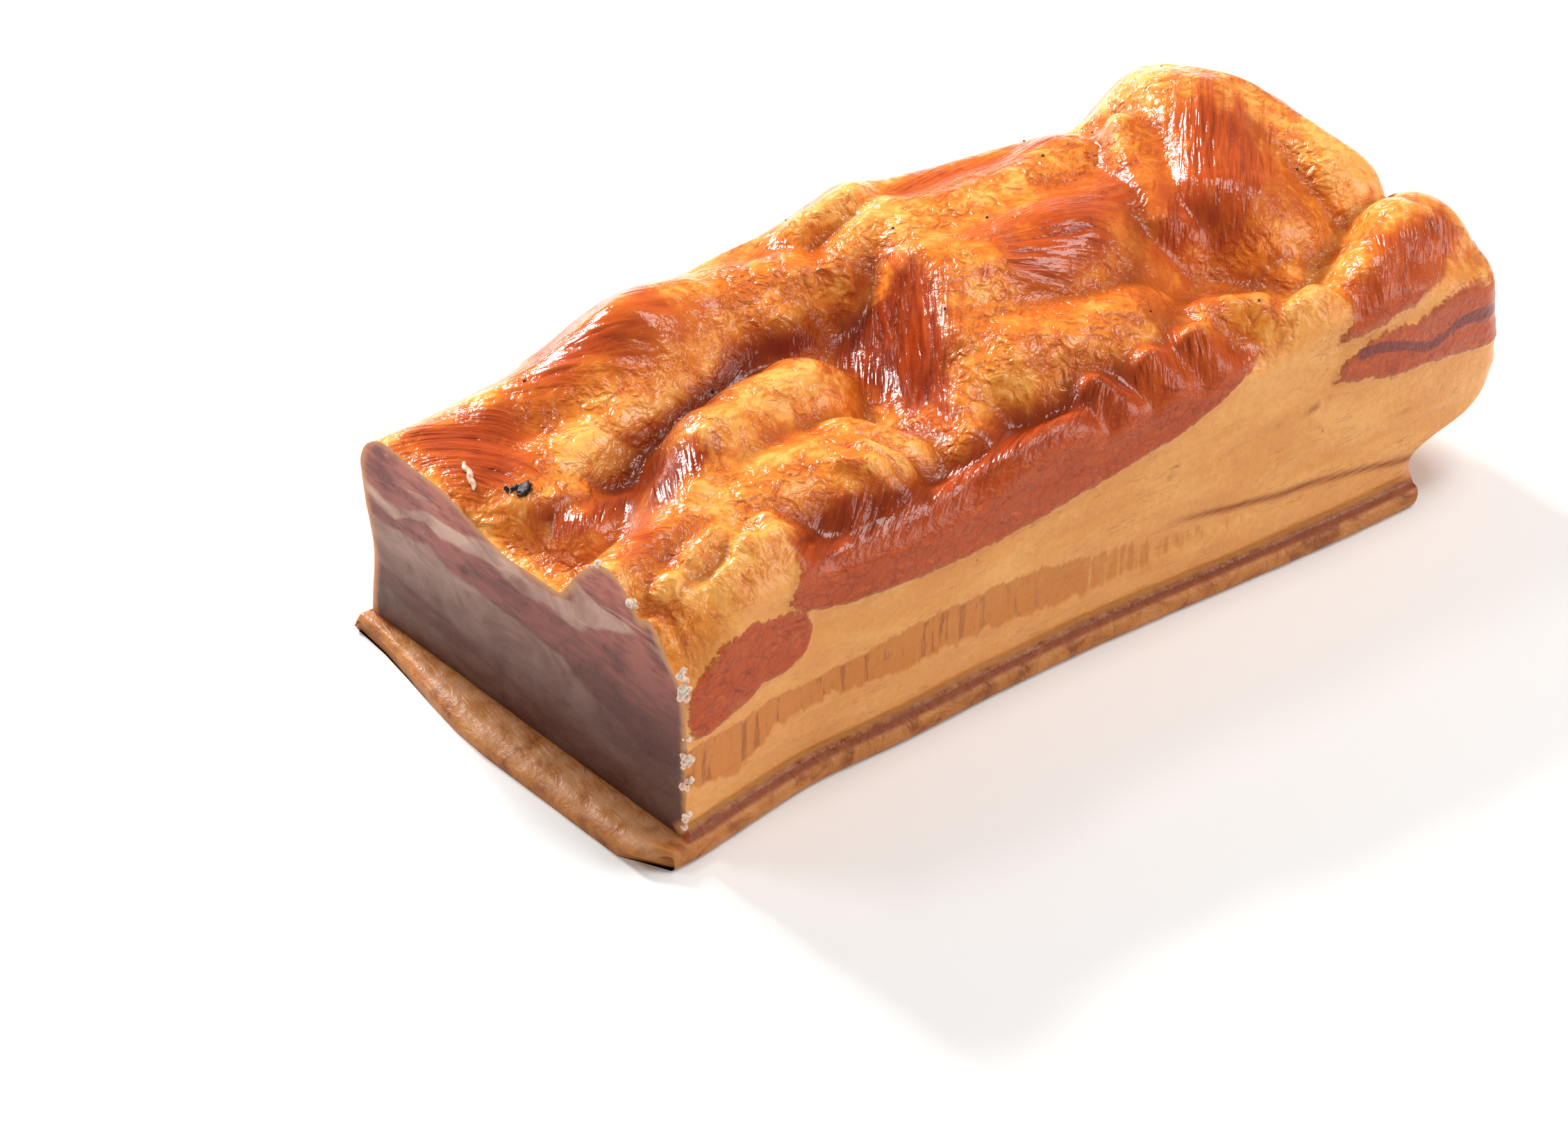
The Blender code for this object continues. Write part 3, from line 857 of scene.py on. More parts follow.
@dataclass(frozen=True)
class SlabSkin:
    """The slab's whole outside as one closed mesh, finely divided."""

    form: SlabForm
    steps_along: int = 266
    steps_wall: int = 62
    steps_near_shoulder: int = 8
    steps_top: int = 118
    steps_far_shoulder: int = 12
    steps_under: int = 10
    steps_rounding: int = 8
    steps_flap: int = 10
    flap_curl: float = 0.225
    flap_thinning: float = 0.42
    flap_rounding: float = 1.3
    merge_cells: float = 2000.0
    far_rim: float = 20.0
    rind_near_profile: Stations = ((1.7, 4.8), (0.95, 4.5), (0.3, 3.6), (0.0, 2.2), (0.15, 0.9), (0.8, 0.0))
    rind_far_profile: Stations = ((53.2, 4.8), (53.8, 4.1), (54.0, 2.6), (53.9, 1.0), (53.3, 0.0))

    @property
    def across(self) -> int:
        """Number of steps over the top and both shoulders."""
        return self.steps_near_shoulder + self.steps_top + self.steps_far_shoulder

    def meat_rows(self, share: Points) -> tuple[Points, Points]:
        """Outline over the meat at each share of the length.

        Args:
            share: Shares, one to a row.

        Returns:
            The y and z of the outline, near foot to far foot.
        """
        form = self.form
        one = np.ones_like(share)
        low = form.rind_thickness
        near = form.near_foot(form.place_x(share, -form.rind_width / 2, low))
        near_top = form.top_at(share, near) - form.near_shoulder
        wall_z = low + spaced(self.steps_wall) * (near_top - low)
        wall_y = near - form.near_wall_out(wall_z)
        turn = spaced(self.steps_near_shoulder, np.pi / 2)
        shoulder_y = near + form.near_shoulder * (1 - np.cos(turn))
        shoulder_z = form.top_at(share, shoulder_y) - form.near_shoulder * (1 - np.sin(turn))
        shoulder_y = shoulder_y - form.near_wall_out(shoulder_z) * np.cos(turn)
        inner = near + form.near_shoulder
        outer = form.wall_far_y - form.far_shoulder
        top_y = inner + spaced(self.steps_top) * (outer - inner)
        turn = spaced(self.steps_far_shoulder, np.pi / 2)
        back_y = form.wall_far_y - form.far_shoulder * (1 - np.sin(turn)) * one
        back_z = form.top_at(share, back_y) - form.far_shoulder * (1 - np.cos(turn))
        far_top = form.top_at(share, form.wall_far_y * one) - form.far_shoulder
        far_z = far_top + np.linspace(0.0, 1.0, self.steps_wall + 1)[None, :] * (low - far_top)
        far_y = form.wall_far_y - form.far_wall_in(far_z)
        y = np.concatenate([wall_y, shoulder_y, top_y, back_y, far_y], axis=1)
        z = np.concatenate([wall_z, shoulder_z, form.top_at(share, top_y), back_z, far_z], axis=1)
        return y, z

    def rind_rows(self, share: Points) -> tuple[Points, Points]:
        """Outline round the rind at each share, from its far edge under the slab to its near edge.

        Args:
            share: Shares, one to a row.

        Returns:
            The y and z of the outline.
        """
        one = np.ones_like(share)
        near = self.form.near_rind(self.form.place_x(share, -self.form.rind_width / 2, 0.0))
        outline = [(place * one, height) for place, height in self.rind_far_profile]
        last_far = self.rind_far_profile[-1][0]
        last_near = near + self.rind_near_profile[-1][0]
        for step in range(1, self.steps_under):
            part = step / self.steps_under
            outline.append((last_far * (1 - part) + last_near * part, 0.0))
        outline += [(near + inset, height) for inset, height in reversed(self.rind_near_profile)]
        y = np.concatenate([place for place, _ in outline], axis=1)
        z = np.concatenate([height * one for _, height in outline], axis=1)
        return y, z

    def rounding_rings(self, last: Points) -> list[Points]:
        """Rings that round the far end's edge over, each drawn in a little more.

        Args:
            last: The last ring along the slab.

        Returns:
            The rings.
        """
        middle = last[:, 1:].mean(axis=0)
        off = last[:, 1:] - middle
        reach = np.linalg.norm(off, axis=1)
        rounding = self.form.end_rounding * self.form.share_on_meat(last[:, 2])
        rings = []
        for turn in np.linspace(0.0, np.pi / 2, self.steps_rounding + 1)[1:]:
            section = middle + off * (1 - rounding * (1 - np.cos(turn)) / reach)[:, None]
            rings.append(np.column_stack([last[:, 0] + rounding * np.sin(turn), section]))
        return rings

    def foot_row(self, ring: Points) -> Points:
        """Points along the meat's foot, near to far, spaced as the points over the top are.

        Args:
            ring: The ring of points that the foot closes.

        Returns:
            The points.
        """
        rows = self.steps_wall
        top_y = ring[rows : rows + self.across + 1, 1]
        share = (top_y - top_y[0]) / (top_y[-1] - top_y[0])
        y = ring[0, 1] + share * (ring[2 * rows + self.across, 1] - ring[0, 1])
        return np.column_stack([np.zeros_like(y), y, np.full_like(y, self.form.rind_thickness)])

    def grid_inside(self, ring: Points, foot: Points) -> Points:
        """Fill an outline over the meat with a grid of (y, z) between its four sides.

        Args:
            ring: The ring that bounds the grid.
            foot: The grid's lowest row.

        Returns:
            An array of rows, each with its points, without the four sides.
        """
        rows = self.steps_wall
        left = ring[: rows + 1, 1:]
        top = ring[rows : rows + self.across + 1, 1:]
        right = ring[rows + self.across : 2 * rows + self.across + 1, 1:][::-1]
        bottom = foot[:, 1:]
        u = ((bottom[:, 0] - bottom[0, 0]) / (bottom[-1, 0] - bottom[0, 0]))[None, :, None]
        v = (np.arange(rows + 1) / rows)[:, None, None]
        sides = (1 - u) * left[:, None] + u * right[:, None]
        ends = (1 - v) * bottom[None] + v * top[None]
        low_corners = (1 - u) * bottom[0] + u * bottom[-1]
        high_corners = (1 - u) * top[0] + u * top[-1]
        return (sides + ends - (1 - v) * low_corners - v * high_corners)[1:-1, 1:-1]

    @staticmethod
    def quads(rows: np.ndarray) -> list[Face]:
        """Four-sided faces between neighbouring rows and columns of vertex numbers."""
        corners = (rows[:-1, :-1], rows[1:, :-1], rows[1:, 1:], rows[:-1, 1:])
        return list(map(tuple, np.stack([corner.ravel() for corner in corners], axis=1).tolist()))

    @staticmethod
    def zip_rows(first: np.ndarray, second: np.ndarray, first_y: Points, second_y: Points) -> list[Face]:
        """Fill the gap between two rows of different lengths with triangles.

        Args:
            first: Vertex numbers of one row.
            second: Vertex numbers of the other row.
            first_y: Places of the first row's vertices.
            second_y: Places of the second row's vertices.

        Returns:
            The triangles.
        """
        faces = []
        i = 0
        j = 0
        while i < len(first) - 1 or j < len(second) - 1:
            if j == len(second) - 1 or (i < len(first) - 1 and first_y[i + 1] <= second_y[j + 1]):
                faces.append((first[i], second[j], first[i + 1]))
                i += 1
            else:
                faces.append((first[i], second[j], second[j + 1]))
                j += 1
        return faces

    def fill_end(
        self, shell: Shell, ring: Points, numbers: np.ndarray,
        place_x: Callable[[Points, Points], Points], coat: Coat,
    ) -> tuple[Points, np.ndarray]:
        """Close one end of the meat with a grid of faces.

        Args:
            shell: Where the points and faces go.
            ring: The ring that bounds the end.
            numbers: Vertex numbers of the ring's meat.
            place_x: Gives the end's x at y and z.
            coat: Finish of the faces.

        Returns:
            The points along the meat's foot and their numbers.
        """
        rows = self.steps_wall
        foot = self.foot_row(ring)
        foot[:, 0] = place_x(foot[:, 1], foot[:, 2])
        inner = self.grid_inside(ring, foot)
        inner = np.concatenate([place_x(inner[..., :1], inner[..., 1:]), inner], axis=2)
        foot_numbers = np.concatenate([numbers[:1], shell.add_points(foot[1:-1]), numbers[-1:]])
        whole = np.zeros((rows + 1, self.across + 1), int)
        whole[:, 0] = numbers[: rows + 1]
        whole[rows, :] = numbers[rows : rows + self.across + 1]
        whole[:, -1] = numbers[rows + self.across :][::-1]
        whole[0, :] = foot_numbers
        whole[1:-1, 1:-1] = shell.add_points(inner)
        shell.add_faces(self.quads(whole), coat)
        return foot, foot_numbers

    def flap_row(self, start: Points, share: float) -> Points:
        """One closed row of the flap: longest in front of the near half, thinner and rounded in front.

        Args:
            start: The row at the cut.
            share: Share of the flap's length, 1 at its front edge.

        Returns:
            The row's points.
        """
        form = self.form
        x, y, z = start.T
        step = np.array(share)
        half = form.rind_width / 2
        corner = form.flap_corner * share * ease(form.flap_corner - half, -half, y)
        rounding = self.flap_rounding * ease(0.85, 1.0, step) * np.abs(z / form.rind_thickness - 0.5) * 2
        thin = 1.0 - self.flap_thinning * ease(0.55, 1.0, step)
        curl = 1.0 + self.flap_curl * ease(0.3, 0.8, step) * ease(-30.0, -52.0, y)
        return np.column_stack([x - share * (form.flap_reach(y) - corner) + rounding, y, z * thin * curl])

    def build(self) -> SkinMesh:
        """Lay out the whole skin without its relief.

        Returns:
            The skin.
        """
        form = self.form
        share = np.linspace(0.0, 1.0, self.steps_along + 1)[:, None]
        meat_y, meat_z = self.meat_rows(share)
        rind_y, rind_z = self.rind_rows(share)
        y = np.concatenate([meat_y, rind_y], axis=1)
        z = np.concatenate([meat_z, rind_z], axis=1)
        rings = np.stack([form.place_x(share, y, z), y, z], axis=2)
        rings = np.concatenate([rings, np.array(self.rounding_rings(rings[-1]))])
        shell = Shell()
        numbers = shell.add_points(rings)
        meat = meat_y.shape[1]
        shell.faces += self.quads(np.concatenate([numbers, numbers[:, :1]], axis=1))
        on_rind = np.arange(numbers.shape[1]) >= meat - 1
        coats = np.where(on_rind, Coat.RIND.value, Coat.CRUST.value)
        shell.coats += np.tile(coats, len(numbers) - 1).tolist()

        # The cut, and the far end with the rind's end under it
        cut_foot, cut_numbers = self.fill_end(
            shell, rings[0], numbers[0, :meat], lambda y, z: form.cut_x(y), Coat.CUT
        )
        foot, foot_numbers = self.fill_end(shell, rings[-1], numbers[-1, :meat], form.end_x, Coat.CRUST)
        rind_end = rings[-1, meat:][::-1]
        end_faces = self.zip_rows(foot_numbers, numbers[-1, meat:][::-1], foot[:, 1], rind_end[:, 1])
        shell.add_faces(end_faces, Coat.RIND)

        # The flap of rind in front of the cut
        start = np.concatenate([cut_foot, rings[0, meat:]])
        behind = np.concatenate([cut_numbers, numbers[0, meat:]])
        for step in range(1, self.steps_flap + 1):
            row = self.flap_row(start, step / self.steps_flap)
            strip = np.array([behind, shell.add_points(row)])
            shell.add_faces(self.quads(np.concatenate([strip, strip[:, :1]], axis=1)), Coat.RIND)
            behind = strip[1]
        split = len(cut_foot)
        front = self.zip_rows(behind[:split], behind[split:][::-1], row[:split, 1], row[split:, 1][::-1])
        shell.add_faces(front, Coat.RIND)
        return self.finished(shell, numbers, meat)

    def wall_shares(self, count: int, numbers: np.ndarray, meat: int) -> Points:
        """How far each point is on a wall: 0 on the top, 1 on the walls and ends.

        Args:
            count: Number of points.
            numbers: Vertex numbers of the rings.
            meat: Number of points of a ring on the meat.

        Returns:
            The shares.
        """
        wall = np.zeros(count)
        rows = self.steps_wall
        back = rows + self.across
        wall[numbers[:, :rows]] = 1.0
        near = self.steps_near_shoulder + 1
        far = self.steps_far_shoulder + 1
        wall[numbers[:, rows : rows + near]] = np.linspace(1.0, 0.0, near)
        wall[numbers[:, back + 1 - far : back + 1]] = np.linspace(0.0, 1.0, far)
        wall[numbers[:, back:meat]] = 1.0
        wall[numbers.size :] = 1.0
        for step in range(1, self.steps_rounding + 1):
            ring = numbers[self.steps_along + step]
            wall[ring] = np.maximum(wall[ring], step / self.steps_rounding)
        return wall

    def finished(self, shell: Shell, numbers: np.ndarray, meat: int) -> SkinMesh:
        """Note what each point lies on and merge points that coincide.

        Args:
            shell: All points and faces.
            numbers: Vertex numbers of the rings.
            meat: Number of points of a ring on the meat.

        Returns:
            The skin.
        """
        points = np.concatenate(shell.points)
        cut = np.zeros(len(points))
        rind = np.zeros(len(points))
        rind[numbers[:, meat:]] = 1.0
        for face, coat in zip(shell.faces, shell.coats):
            if coat == Coat.CUT.value:
                cut[list(face)] = 1.0
            elif coat == Coat.RIND.value and face[0] >= numbers.size:
                rind[list(face)] = 1.0
        edge = numbers[0, :meat]
        cut[numbers[0]] = 0.0
        rim = np.full(len(points), self.far_rim)
        for group in np.array_split(np.flatnonzero(cut > 0.5), 12):
            off = points[group, None, 1:] - points[edge][None, :, 1:]
            rim[group] = np.linalg.norm(off, axis=2).min(axis=1)
        rim[edge] = 0.0
        keys = np.round(points * self.merge_cells).astype(np.int64)
        _, first, same = np.unique(keys, axis=0, return_index=True, return_inverse=True)
        same = same.ravel()
        faces = []
        coats = []
        for face, coat in zip(shell.faces, shell.coats):
            corners = [int(same[corner]) for corner in face]
            corners = [corner for place, corner in enumerate(corners) if corner != corners[place - 1]]
            if len(set(corners)) > 2:
                faces.append(tuple(corners))
                coats.append(coat)
        wall = self.wall_shares(len(points), numbers, meat)
        return SkinMesh(points[first], faces, coats, wall[first], cut[first], rind[first], rim[first])


# Values that the painter works out for each point and the finishes read
PAINTED = ("lean", "red", "shade", "tone", "streak", "lines", "stripe", "seam", "cut_lean")


@dataclass(frozen=True)
class Relief:
    """Heights and cells of the skin's fine relief, in millimetres."""

    lean_ridge: float = 0.1
    lean_spacing: float = 2.7
    lean_length: float = 24.0
    lean_swell: float = 0.22
    lean_bend: float = 1.2
    lean_cell: float = 9.0
    lean_edge: Place = (0.35, 0.65)
    swell_share: Triple = (0.35, 0.6, 0.5)
    fat_warp: Place = (2.2, 9.0)
    fat_bump: float = 0.3
    fat_spacing: float = 5.0
    small_bump: float = 0.24
    small_share: float = 0.45
    lumpy_cell: float = 24.0
    lumpy_range: Place = (-0.25, 0.45)
    fat_strand: float = 0.05
    strand_share: Triple = (0.5, 1.0, 0.5)
    calm_end: Place = (202.0, 216.0)
    calm_share: float = 0.6
    fold_height: float = 0.55
    fold_spacing: float = 17.0
    layer_height: float = 0.22
    layer_cells: Triple = (34.0, 30.0, 4.2)
    wall_swell: float = 0.3
    wall_cell: float = 20.0
    band_step: float = 0.7
    band_edge: Place = (0.4, 0.6)
    streak_depth: float = 0.25
    streak_edge: Place = (0.3, 0.7)
    knife_marks: float = 0.16
    knife_cells: Triple = (9.0, 9.0, 5.0)
    knife_start: float = 3.0
    rind_height: float = 0.16
    rind_cells: Triple = (6.0, 6.0, 3.0)


@dataclass(frozen=True)
class Marks:
    """Places, widths and strengths of the painted lines and of the painted shade in the groove and the
    ledge's corner, in millimetres.
    """

    seam_jump: float = 6.0
    wobble: float = 1.3
    wobble_cells: Place = (9.0, 30.0)
    teeth: float = 1.6
    teeth_cells: Place = (3.1, 12.0)
    streak_blur: float = 2.4
    thin_width: float = 0.9
    thin_start: Place = (128.0, 150.0)
    dots_line: Stations = ((160.0, 41.75), (212.0, 44.35))
    dots_cells: Triple = (3.0, 9.0, 9.0)
    dots_start: Place = (160.0, 170.0)
    dots_end: Place = (212.0, 200.0)
    dots_strength: float = 0.8
    groove_line: float = 5.0
    groove_width: float = 0.7
    groove_strength: float = 0.95
    groove_foot: float = 4.6
    haze: float = 0.22
    haze_heights: Place = (12.0, 5.0)
    ledge_foot: float = 4.0
    corner_reach: Place = (1.1, 0.1)
    corner_strength: float = 0.8
    stripe_width: float = 1.9
    stripe_core: float = 1.45
    stripe_cells: Triple = (4.0, 5.0, 9.0)
    stripe_strength: Place = (0.85, 0.3)
    stripe_start: Place = (184.0, 190.0)


class SlabPainter:
    """Gives the skin its relief and the painted values that its finishes read."""

    def __init__(self, skin: SkinMesh, form: SlabForm, mesh: bpy.types.Mesh) -> None:
        """Note the points, their normals and their neighbours.

        Args:
            skin: The skin without relief.
            form: The slab's form.
            mesh: Blender mesh of the same skin.
        """
        self.skin = skin
        self.form = form
        self.sizes = Relief()
        self.marks = Marks()
        self.points = skin.points.copy()
        self.normals = read_values(mesh.vertices, "normal", 3)
        self.edges = read_values(mesh.edges, "vertices", 2, np.int32)
        self.degree = np.bincount(self.edges.ravel(), minlength=len(self.points)).astype(float)
        x, y, z = self.points.T
        self.sheet = (x + SHEET_SLANT[0] * (z - SHEET_HEIGHT), y + SHEET_SLANT[1] * (z - SHEET_HEIGHT))
        near = ease(*WALL_SIDE, y) * ease(*WALL_END, x) * (y - WALL_SHEET_Y)
        self.run = x - WALL_SLANT * near
        self.rise = z + near
        self.noise = LatticeNoise(11)
        self.other_noise = LatticeNoise(29)

    def spread(self, values: Points, rounds: int) -> Points:
        """Even values out over neighbouring points.

        Args:
            values: One value, or a row of values, for each point.
            rounds: Number of times that each point takes its neighbours' mean.

        Returns:
            The evened values, in the same layout.
        """
        evened = values.reshape(len(self.degree), -1).copy()
        first, second = self.edges.T
        for _ in range(rounds):
            for column in range(evened.shape[1]):
                total = np.bincount(first, evened[second, column], len(self.degree))
                total += np.bincount(second, evened[first, column], len(self.degree))
                evened[:, column] = 0.5 * evened[:, column] + 0.5 * total / self.degree
        return evened.reshape(values.shape)

    def outward(self, offsets: Points) -> Points:
        """How far offsets go along the normals."""
        return (offsets * self.normals).sum(axis=1)

    def warped(self, reach: float, length: float) -> Points:
        """Points pushed about softly, so that patterns read there look grown."""
        push = [self.noise.at(self.points / length + shift) for shift in (0.0, 31.7, 57.1)]
        return self.points + reach * np.stack(push, axis=1)

    def along_wall(self, run_length: float, rise_length: float) -> Points:
        """Places on the wall for noise with cells of the given length and height."""
        return np.stack([self.run / run_length, self.rise / rise_length, 0 * self.run], axis=1)

    def paint_lean(self) -> None:
        """Work out where lean meat shows, how red it is and how its fibres run."""
        warp = (self.warped(1.8, 11.0) - self.points).T
        wall = self.skin.wall
        best = np.full(len(wall), -1e9)
        top_field = np.zeros(len(wall))
        red = np.full(len(wall), 0.4)
        self.fibre = np.zeros((len(wall), 2))
        for number, patch in enumerate(TOP_PATCHES.values()):
            inside = patch.inside(self.sheet[0] + warp[0], self.sheet[1] + warp[1])
            top_field = np.maximum(top_field, patch.field(inside, 3.6))
            nearer = inside > best
            best = np.where(nearer, inside, best)
            red = np.where(nearer, patch.red, red)
            flow = patch.fibre(*self.points.T[:2]) + (40.0 * number, 0.0)
            self.fibre = np.where(nearer[:, None], flow, self.fibre)
        self.wall_lean = np.zeros(len(wall))
        for patch in WALL_PATCHES.values():
            inside = patch.inside(self.run + 0.25 * warp[0], self.rise + 0.25 * warp[2])
            self.wall_lean = np.maximum(self.wall_lean, patch.field(inside, 2.0))
        self.lean = (1 - wall) * top_field + wall * self.wall_lean
        cut_field = np.zeros(len(wall))
        for patch in CUT_PATCHES.values():
            inside = patch.inside(self.points[:, 1] + 0.8 * warp[1], self.points[:, 2] + 0.6 * warp[2])
            cut_field = np.maximum(cut_field, patch.field(inside, 2.0))
        self.cut_lean = cut_field * ((self.skin.cut > 0.5) | (self.skin.rim == 0.0))
        self.red = self.spread(red * (1 - wall) + wall * 0.45, 4)
        self.paint_seams()

    def paint_seams(self) -> None:
        """Mark the seams where the fibres of two patches meet, so that no strands are drawn across."""
        first, second = self.edges.T
        jump = np.abs(self.fibre[first] - self.fibre[second]).max(axis=1) > self.marks.seam_jump
        seam = np.zeros(len(self.points))
        seam[self.edges[jump]] = 1.0
        self.seam = np.clip(2.2 * self.spread(seam, 3), 0, 1)

    def paint_wall(self) -> None:
        """Work out the brown streak, the thin lines and the end's stripe on the walls, and the painted shade
        in the groove over the rind and in the ledge's corner.
        """
        marks = self.marks
        wall = self.skin.wall
        height = self.points[:, 2]
        wobble = marks.wobble * self.noise.at(self.along_wall(*marks.wobble_cells))
        teeth = marks.teeth * self.other_noise.at(self.along_wall(*marks.teeth_cells))
        lower = along(STREAK_LOWER, self.run) + wobble + teeth
        upper = along(STREAK_UPPER, self.run) + 0.6 * wobble
        within = np.minimum(self.rise - lower, upper - self.rise)
        strength = along(STREAK_STRENGTH, self.run) * wall
        self.streak = np.clip(0.5 + within / marks.streak_blur, 0, 1) * strength

        # A thin line low on the right and a broken one higher up
        off_line = self.rise - along(THIN_LINE, self.run) - 0.5 * wobble
        thin = bell(off_line, marks.thin_width) * ease(*marks.thin_start, self.run)
        off_dots = self.rise - along(marks.dots_line, self.run) - 0.6 * wobble
        broken = ease(0.0, 0.5, self.noise.at(self.points / marks.dots_cells))
        dotted = bell(off_dots, 1.0) * broken
        dotted *= ease(*marks.dots_start, self.run) * ease(*marks.dots_end, self.run)
        lines = np.maximum(thin, marks.dots_strength * dotted) * wall

        # Painted shade in the groove over the rind and in the corner of the ledge, with a brown haze that
        # deepens downwards to the groove
        on_side = (self.skin.cut < 0.5) * (self.points[:, 0] > self.form.cut_x(self.points[:, 1]) - 0.5)
        groove = marks.groove_strength * bell(height - marks.groove_line - 0.35 * teeth, marks.groove_width)
        groove = np.clip(groove + marks.haze * ease(*marks.haze_heights, height), 0, 1)
        to_wall = self.form.near_foot(self.points[:, 0]) - self.points[:, 1]
        on_ledge = (self.skin.rind > 0.5) * (height > marks.ledge_foot) * (to_wall > -0.5)
        corner = marks.corner_strength * ease(*marks.corner_reach, to_wall - 0.3 * teeth)
        smoke = np.maximum(groove * (height > marks.groove_foot), corner * on_ledge)
        self.lines = np.maximum(lines, smoke * on_side)

        # The stripe on the right, broken here and there
        off_stripe = np.abs(self.rise - along(END_STRIPE, self.run) - 0.4 * wobble)
        base, swing = marks.stripe_strength
        breaks = base + swing * self.noise.at(self.points / marks.stripe_cells)
        self.stripe = np.clip(marks.stripe_core - off_stripe / marks.stripe_width, 0, 1) * breaks
        self.stripe *= ease(*marks.stripe_start, self.run) * wall

    def top_relief(self) -> Points:
        """Relief of the top: strands on the lean, lobules on the fat, broad folds.

        Returns:
            Heights in millimetres.
        """
        sizes = self.sizes
        lean = ease(*sizes.lean_edge, self.lean)
        across = self.fibre[:, 0] + sizes.lean_bend * self.noise.at(self.points / sizes.lean_cell)
        along_fibre = self.fibre[:, 1] / sizes.lean_length
        cells = [across / sizes.lean_spacing, along_fibre, self.points[:, 2] / sizes.lean_cell]
        strands = np.stack(cells, axis=1)
        lean_relief = sizes.lean_ridge * self.noise.layered(strands, 2)
        lean_relief += sizes.lean_swell * self.other_noise.at(strands * sizes.swell_share)
        lean_relief *= 1 - self.seam
        warped = self.warped(*sizes.fat_warp) / sizes.fat_spacing
        bumps = sizes.fat_bump * (1.3 * np.abs(self.noise.at(warped)) - 0.35)
        small = np.abs(self.other_noise.at(warped / sizes.small_share))
        lumpy = ease(*sizes.lumpy_range, self.other_noise.at(self.points / sizes.lumpy_cell + 9.0))
        fat_relief = lumpy * (bumps + sizes.small_bump * (small - 0.3))
        fat_strands = self.noise.layered(strands * sizes.strand_share + 3.0, 2)
        fat_relief += sizes.fat_strand * fat_strands * (1 - self.seam)
        fat_relief *= 1 - sizes.calm_share * ease(*sizes.calm_end, self.points[:, 0])
        folds = sizes.fold_height * self.noise.at(self.points / sizes.fold_spacing + 5.0)
        return folds + lean * lean_relief + (1 - lean) * fat_relief

    def relief(self) -> Points:
        """Height of the relief over the form.

        Returns:
            Heights in millimetres, along each point's normal.
        """
        sizes = self.sizes
        skin = self.skin
        layers = np.stack([self.run, self.points[:, 1], self.rise], axis=1) / sizes.layer_cells
        wall_relief = sizes.layer_height * self.noise.layered(layers, 2)
        wall_relief += sizes.wall_swell * self.noise.at(self.points / sizes.wall_cell)
        wall_relief += sizes.band_step * ease(*sizes.band_edge, self.wall_lean)
        wall_relief -= sizes.streak_depth * ease(*sizes.streak_edge, self.streak)
        height = (1 - skin.wall) * self.top_relief() + skin.wall * wall_relief
        rind = sizes.rind_height * self.noise.layered(self.points / sizes.rind_cells, 2)
        knife = sizes.knife_marks * self.noise.layered(self.points / sizes.knife_cells, 3)
        height = np.where(skin.rind > 0.5, rind, height)
        height = np.where(skin.cut > 0.5, knife * ease(0.0, sizes.knife_start, skin.rim), height)
        return np.where(skin.points[:, 2] < 1e-6, 0.0, height)

    def raise_relief(self, low: Points, high: Points) -> None:
        """Move the points out by the relief and keep them within the solid's box.

        The cut moves straight out and its edge stays in the cut's plane.

        Args:
            low: Lowest corner of the box.
            high: Highest corner of the box.
        """
        across_cut = np.array([-1.0, -self.form.cut_skew, 0.0])
        across_cut /= np.linalg.norm(across_cut)
        along_cut = self.normals - (self.normals @ across_cut)[:, None] * across_cut
        along_cut /= np.maximum(np.linalg.norm(along_cut, axis=1), 1e-6)[:, None]
        on_cut = (self.skin.cut > 0.5)[:, None]
        on_edge = (self.skin.rim == 0.0)[:, None] & ~on_cut
        direction = np.where(on_edge, along_cut, np.where(on_cut, across_cut, self.normals))
        self.points = np.clip(self.points + direction * self.relief()[:, None], low, high)
        self.soften_creases()

    def soften_creases(self) -> None:
        """Fill narrow creases of the crust a little, as soft tissue does, so that none looks like a crack."""
        on_crust = (self.skin.rim > 2.0) & (self.skin.rind < 0.5) & (self.skin.cut < 0.5)
        for _ in range(2):
            inward = self.spread(self.points, 6) - self.points
            self.points += (ease(0.05, 0.25, self.outward(inward)) * on_crust)[:, None] * inward

    def paint_shade(self) -> None:
        """Work out the painted shade of creases and hollows together with the smoke-darkened valleys, the
        paler fat on ridges, which is painted light, and the fat's tone.
        """
        on_top = 1 - self.skin.wall
        crease = self.outward(self.spread(self.points, 5) - self.points)
        hollow = self.outward(self.spread(self.points, 45) - self.points)
        smoke_and_shade = np.max([stain.strength(*self.sheet) for stain in SMOKE_AND_SHADE_STAINS], axis=0) * on_top
        # Painted shade: creases and hollows darken, on top of the smoke-darkened valleys
        shade = 0.8 * smoke_and_shade + 0.27 * np.clip(hollow / 1.3, -0.8, 1.0) + 0.9 * np.clip(crease, -0.1, 0.2)
        self.shade = self.spread(np.clip(shade, 0, 1), 1)
        tone = 0.4 + 0.3 * self.noise.layered(self.points / 16.0, 3)
        tone += np.sum([stain.strength(*self.sheet) for stain in FAT_STAINS], axis=0) * on_top
        # Painted light: the fat turns paler on ridges
        self.tone = np.clip(tone - 0.5 * np.clip(-crease / 0.2, 0, 0.5), 0, 1)

    def flap(self) -> Points:
        """Where leftover fat lies on the flap of rind in front of the cut.

        Returns:
            Its strength at each point.
        """
        form = self.form
        x, y, z = self.skin.points.T
        from_front = x - form.cut_x(y) + form.flap_reach(y)
        from_near = y + form.rind_width / 2
        cover = ease(1.5, 4.0, from_front) * ease(2.0, 5.0, from_near) * (z > 0.5 * form.rind_thickness)
        ragged = ease(-0.5, 0.3, self.noise.layered(self.points / 5.0, 2))
        return 0.85 * cover * ragged * (x < form.cut_x(y))

